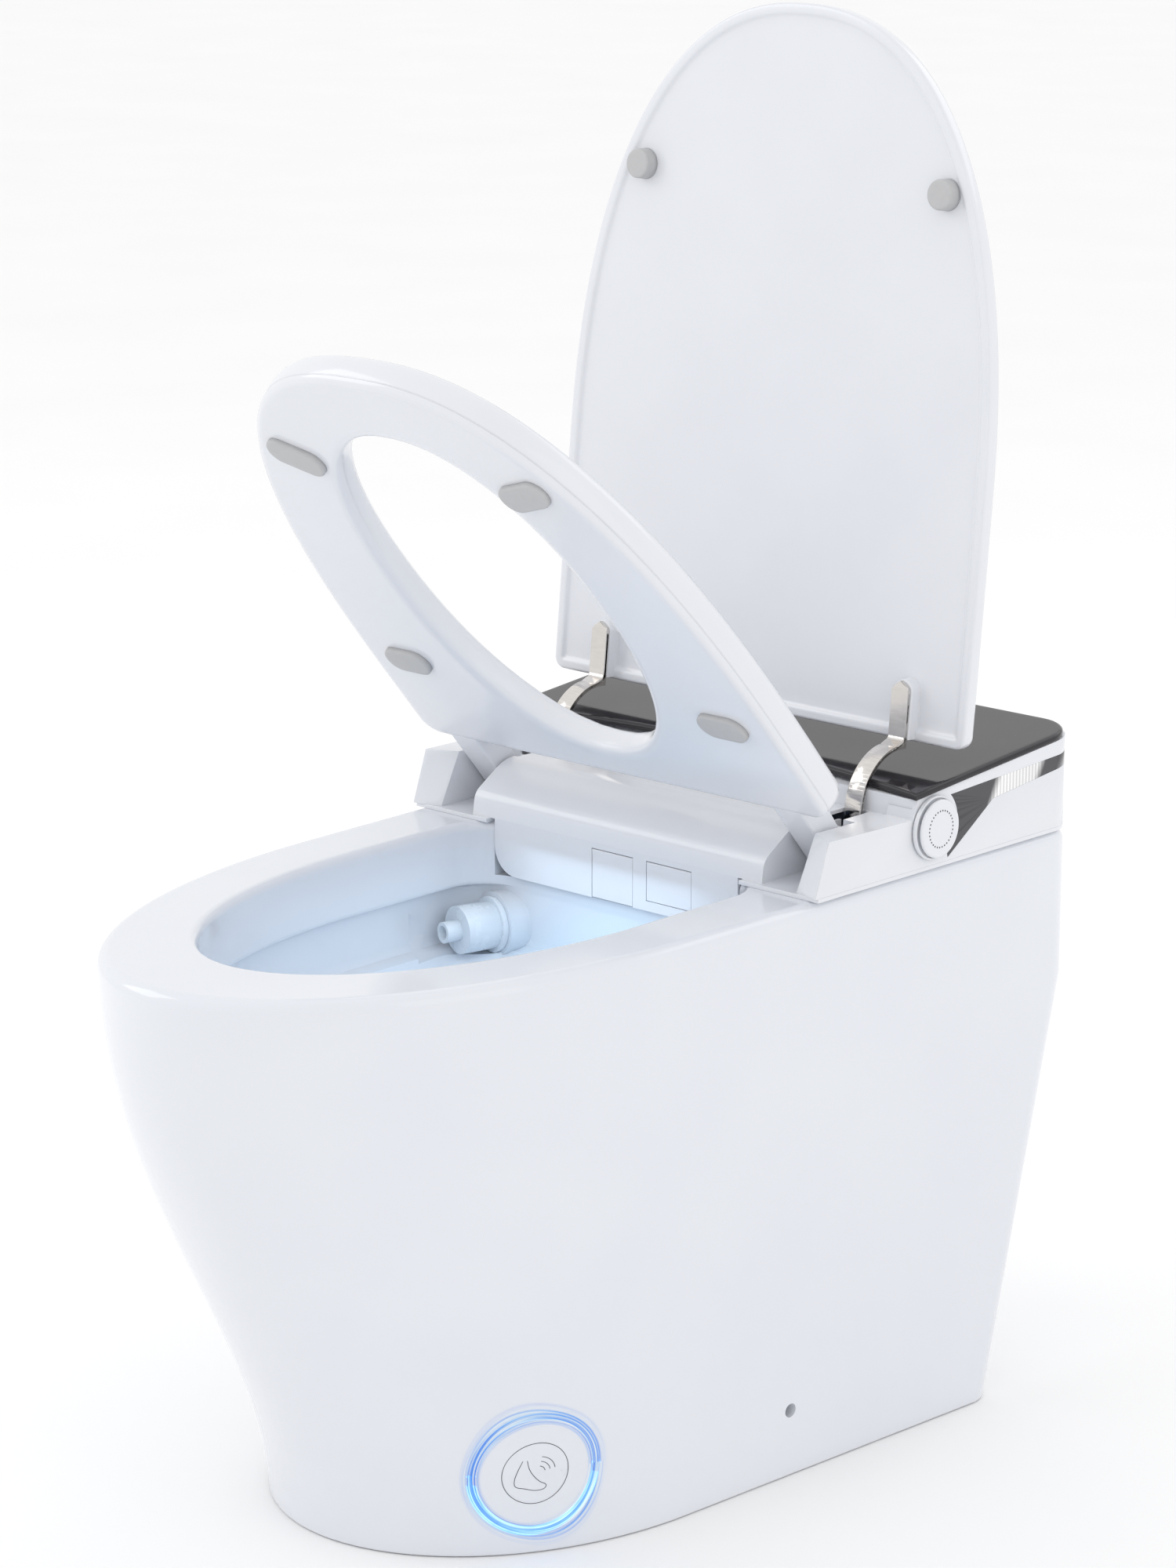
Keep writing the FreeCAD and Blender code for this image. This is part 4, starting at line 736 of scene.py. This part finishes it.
def build_nose():
    """Deck, sloping nose and front skirt of the unit as one moulding."""
    outline = [(18, PLATE_TOP)]
    outline += rounded_corner((18, PLATE_TOP), (20, 428), (49, 446), 6)
    outline += rounded_corner((20, 428), (49, 446), (60, DECK_TOP), 8)
    outline += [(60, DECK_TOP), (112, DECK_TOP), (113, 461), (115.5, 461), (115.5, PLATE_TOP)]
    nose = side_prism("unit_nose", outline, -133, 133)
    skirt_outline = [(-112, PLATE_TOP + 0.4), (-112, 394)]
    skirt_outline += [(-92 - 20 * math.cos(math.radians(a)), 394 - 20 * math.sin(math.radians(a)))
                      for a in range(9, 91, 9)]
    skirt_outline += [(-x, z) for x, z in reversed(skirt_outline)]
    skirt = loft("skirt", [[(x, y, z) for x, z in skirt_outline] for y in (18, 21)])
    sides = []
    for side in (-1, 1):
        low, high = sorted((side * 132, side * 163.4))
        sides.append(side_prism(f"deck_{side}", [
            (82.5, PLATE_TOP), (82.5, DECK_TOP), (112, DECK_TOP), (113, 461), (115.5, 461),
            (115.5, DECK_TOP - 2.5), (85, DECK_TOP - 2.5), (85, PLATE_TOP)], low, high))
        low, high = sorted((side * 163, side * 186.5))
        sides.append(side_prism(f"riser_{side}", [
            (112, DECK_TOP - 2.5), (113, 461), (115.5, 461), (115.5, DECK_TOP - 2.5)], low, high))
    shelf = block("shelf", (-186.5, 186.5), (113.2, 134), (457.5, 460.6))     # under the glass
    carve(nose, skirt, *sides, shelf, operation="UNION")
    room = side_prism("deck_room", [(21, 400), (22.6, 426.6), (50, 443.4), (60, 444.5),
                                    (110, 444.5), (110, 443), (117, 443), (117, 400)],
                      -130.5, 130.5)
    under = block("under_room", (-108, 108), (21, 30), (410, 420))
    cutters = [room, under,
               block("door_hole", (-20, 18), (10, 30), (370, 409.2)),
               block("flap_hole", (30, 71), (10, 30), (381, 409.2))]
    for side in (-1, 1):
        low, high = sorted((side * 129.5, side * 149))
        cutters.append(block(f"pad_slot_{side}", (low, high), (60, 110), (441, 470)))
        cutters.append(block(f"arm_room_{side}", (low, high), (100, 120), (400, 444)))
        low, high = sorted((side * 130, side * 146))
        cutters.append(block(f"arm_slot_{side}", (low, high), (102.5, 111), (400, 449)))
    cutters.append(lathe("pin_way", (-170, 71, 424), (1, 0, 0), [(0, 4.1), (340, 4.1)], 32))
    carve(nose, *cutters)
    return soften(nose, 1.1, 3, 28)


finish_piece(build_nose(), "base", "white_plastic", "deck_panel", "front_skirt")

# ------------------------------------------------------------------ control knob
KNOB = (130, 439.4)
cap = lathe("knob_face", (192, *KNOB), (1, 0, 0), [(0, 19.2), (0.3, 19.8), (0.9, 20), (1.6, 20),
                                                  (2.3, 19.6), (2.7, 18.8), (2.8, 17.5)])
finish_piece(cap, "knob_cap", "white_plastic", "knob_cap")
KNOB_DOTS, DOT_CIRCLE = 30, 12.6
for i in range(KNOB_DOTS):
    angle = 2 * math.pi * i / KNOB_DOTS
    dot = lathe(f"knob_dot_{i}", (194.6, KNOB[0] + DOT_CIRCLE * math.cos(angle),
                                  KNOB[1] + DOT_CIRCLE * math.sin(angle)), (1, 0, 0),
                [(0, 0.6), (0.3, 0.6), (0.4, 0.4)], 12)
    finish_piece(dot, "knob_cap", "dark_plastic")


# ------------------------------------------------------------------ foot sensor: symbol and light
def on_flank(u, v, lift=0.0):
    """Point of the flank that lies u to the right of and v above the sensor's centre."""
    start = sensor + sensor_right * u + sensor_up * v
    inside, outside = -40.0, 8.0
    for _ in range(40):
        depth = (inside + outside) / 2
        point = start + sensor_out * depth
        ease = front_ease(point.z)
        half, length = (blend(RIM[k], FOOT[k], ease) for k in ("half", "length"))
        centre = blend(RIM["centre"], FOOT["centre"], ease)
        beyond = (point.x / half) ** 2 + ((point.y - centre) / length) ** 2 > 1
        inside, outside = (inside, depth) if beyond else (depth, outside)
    return start + sensor_out * (inside + lift)


def line_on_flank(name, points, width, closed=False, lift=0.12):
    """Thin raised line on the flank."""
    count = len(points)
    rings = []
    for i, (u, v) in enumerate(points):
        if closed:
            before, after = points[i - 1], points[(i + 1) % count]
        else:
            before, after = points[max(i - 1, 0)], points[min(i + 1, count - 1)]
        along = Vector((after[0] - before[0], after[1] - before[1])).normalized()
        across = Vector((-along.y, along.x)) * width / 2
        rings.append([on_flank(u + across.x, v + across.y, 0.01),
                      on_flank(u + across.x, v + across.y, lift),
                      on_flank(u - across.x, v - across.y, lift),
                      on_flank(u - across.x, v - across.y, 0.01)])
    return loft(name, rings, wrap=closed)


def smooth_path(points, steps=8, closed=False):
    """Catmull-Rom curve through given points."""
    result, count = [], len(points)
    spans = count if closed else count - 1
    for i in range(spans):
        if closed:
            p = [Vector(points[(i + k) % count]) for k in (-1, 0, 1, 2)]
        else:
            p = [Vector(points[min(max(i + k, 0), count - 1)]) for k in (-1, 0, 1, 2)]
        for s in range(steps):
            t = s / steps
            result.append(tuple(0.5 * (2 * p[1] + (p[2] - p[0]) * t
                                       + (2 * p[0] - 5 * p[1] + 4 * p[2] - p[3]) * t ** 2
                                       + (3 * p[1] - p[0] - 3 * p[2] + p[3]) * t ** 3)))
    if not closed:
        result.append(tuple(points[-1]))
    return result


circle = [(22.6 * math.cos(2 * math.pi * i / 96), 22.6 * math.sin(2 * math.pi * i / 96))
          for i in range(96)]
symbol = [line_on_flank("sensor_circle", circle, 0.45, True)]
leg = smooth_path([(-9, 10), (-12, 3), (-14, -4), (-13, -9), (-7, -11), (0, -13), (6, -12.5),
                   (7.5, -9.5), (3, -6.5), (-1.5, -1.5), (-4.5, 4), (-6, 10)], 6)
symbol.append(line_on_flank("sensor_foot", leg, 0.45))
for number, radius in enumerate((4.5, 8, 11.5)):
    arc = [(2 + radius * math.cos(math.radians(a)), 0.5 + radius * math.sin(math.radians(a)))
           for a in range(10, 81, 7)]
    symbol.append(line_on_flank(f"sensor_wave_{number}", arc, 0.45))
for piece in symbol:
    finish_piece(piece, "base", "dark_plastic")


def swirl_material():
    """Streaks of blue light that run round the sensor; u is the turn, v the distance out."""
    material = bpy.data.materials.new("light_swirl")
    material.use_nodes = True
    tree = material.node_tree
    tree.nodes.clear()
    output = tree.nodes.new("ShaderNodeOutputMaterial")
    uv = tree.nodes.new("ShaderNodeUVMap")
    uv.uv_map = "polar"
    parts = tree.nodes.new("ShaderNodeSeparateXYZ")
    tree.links.new(uv.outputs["UV"], parts.inputs["Vector"])

    def streaks(stretch, seed, detail):
        mapping = tree.nodes.new("ShaderNodeMapping")
        mapping.inputs["Scale"].default_value = stretch
        mapping.inputs["Location"].default_value = (seed, seed, 0)
        noise = tree.nodes.new("ShaderNodeTexNoise")
        noise.inputs["Scale"].default_value = 1.0
        noise.inputs["Detail"].default_value = detail
        tree.links.new(uv.outputs["UV"], mapping.inputs["Vector"])
        tree.links.new(mapping.outputs["Vector"], noise.inputs["Vector"])
        return noise

    body = ramp(tree, parts.outputs["Y"], [(0.0, grey(0)), (0.12, grey(0.35)),
                                           (0.30, grey(1)), (0.50, grey(0.9)),
                                           (0.78, grey(0.2)), (1.0, grey(0))])
    streak = streaks((2.2, 16, 1), 3.1, 2)
    strong = ramp(tree, streak.outputs["Fac"], [(0.36, grey(0.08)), (0.62, grey(1))])
    amount = tree.nodes.new("ShaderNodeMath")
    amount.operation = "MULTIPLY"
    tree.links.new(body.outputs["Color"], amount.inputs[0])
    tree.links.new(strong.outputs["Color"], amount.inputs[1])
    hue = streaks((3.0, 11, 1), 8.7, 2)
    colour = ramp(tree, hue.outputs["Fac"], [(0.34, (0.03, 0.20, 0.90)), (0.48, (0.12, 0.40, 1.0)),
                                             (0.60, (0.55, 0.78, 1.0)), (0.68, (1, 1, 1))])
    glow = tree.nodes.new("ShaderNodeEmission")
    glow.inputs["Strength"].default_value = 0.95
    tree.links.new(colour.outputs["Color"], glow.inputs["Color"])
    clear = tree.nodes.new("ShaderNodeBsdfTransparent")
    mix = tree.nodes.new("ShaderNodeMixShader")
    tree.links.new(amount.outputs["Value"], mix.inputs["Fac"])
    tree.links.new(clear.outputs["BSDF"], mix.inputs[1])
    tree.links.new(glow.outputs["Emission"], mix.inputs[2])
    tree.links.new(mix.outputs["Shader"], output.inputs["Surface"])
    return material


def build_swirl():
    """Skin of light just over the glaze, laid out in turns and distance from the symbol."""
    turns, levels = 160, 14
    points, faces, places = [], [], []
    for level in range(levels + 1):
        for i in range(turns + 1):
            angle = 2 * math.pi * i / turns
            part = level / levels
            tail = max(0.0, math.cos(angle - 2.0)) ** 6 + max(0.0, math.cos(angle + 1.0)) ** 6
            radius = 36 + (15 + 7 * tail) * part
            points.append(on_flank(radius * math.cos(angle), radius * math.sin(angle), 0.35))
            places.append((i / turns, part))
    for level in range(levels):
        for i in range(turns):
            a = level * (turns + 1) + i
            faces.append((a, a + 1, a + turns + 2, a + turns + 1))
    data = bpy.data.meshes.new("light_swirl")
    data.from_pydata([Vector(p) * MM for p in points], [], faces)
    layer = data.uv_layers.new(name="polar")
    for loop in data.loops:
        layer.data[loop.index].uv = places[loop.vertex_index]
    for face in data.polygons:
        face.use_smooth = True
    thing = bpy.data.objects.new("light_swirl", data)
    bpy.context.scene.collection.objects.link(thing)
    return thing


swirl = build_swirl()
swirl.data.materials.append(swirl_material())
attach(swirl, "base")

# ------------------------------------------------------------------ floor, lights, camera
floor = make("floor", [(-30000, -30000, -0.5), (30000, -30000, -0.5), (30000, 30000, -0.5),
                       (-30000, 30000, -0.5)], [(0, 1, 2, 3)])
floor_material, floor_tree, floor_shader = node_material("studio_floor")
floor_noise = object_noise(floor_tree, 3, 2)
floor_tint = ramp(floor_tree, floor_noise.outputs["Fac"], [(0.3, grey(0.95)), (0.7, grey(0.965))])
floor_tree.links.new(floor_tint.outputs["Color"], floor_shader.inputs["Base Color"])
floor_shader.inputs["Roughness"].default_value = 0.9
floor_shader.inputs["Specular IOR Level"].default_value = 0.1
floor.data.materials.append(floor_material)

world = bpy.data.worlds.new("studio")
bpy.context.scene.world = world
world.use_nodes = True
world.node_tree.nodes["Background"].inputs["Color"].default_value = (1.0, 1.0, 1.0, 1)
world.node_tree.nodes["Background"].inputs["Strength"].default_value = 1.0
target = Vector((-0.02, 0.0, 0.40))


def area_light(name, place, width, height, power, colour=(1, 1, 1), aim=target):
    lamp = bpy.data.lights.new(name, "AREA")
    lamp.shape, lamp.size, lamp.size_y = "RECTANGLE", width, height
    lamp.energy, lamp.color = power, colour
    thing = bpy.data.objects.new(name, lamp)
    thing.location = place
    thing.rotation_euler = (aim - Vector(place)).to_track_quat("-Z", "Y").to_euler()
    bpy.context.scene.collection.objects.link(thing)


area_light("key", (-2.2, -1.6, 2.2), 1.8, 1.6, 14)
area_light("side", (2.6, -0.2, 1.5), 1.4, 2.0, 3)
area_light("back", (0.6, 2.4, 2.2), 2.2, 1.2, 6)
area_light("bowl_glow", (0, -0.090, 0.400), 0.16, 0.20, 0.11, (0.60, 0.82, 1.0),
           Vector((0, -0.090, 0.2)))

camera = bpy.data.cameras.new("camera")
camera.lens, camera.sensor_width, camera.sensor_fit = 101.27, 36, "AUTO"
camera_place = bpy.data.objects.new("camera", camera)
look = Vector((-0.1374, 0.1417, 0.410))
camera_place.location = (1.9520, -2.1243, 1.2085)
camera_place.rotation_euler = (look - camera_place.location).to_track_quat("-Z", "Y").to_euler()
bpy.context.scene.collection.objects.link(camera_place)
bpy.context.scene.camera = camera_place
bpy.context.scene.view_settings.view_transform = "Standard"
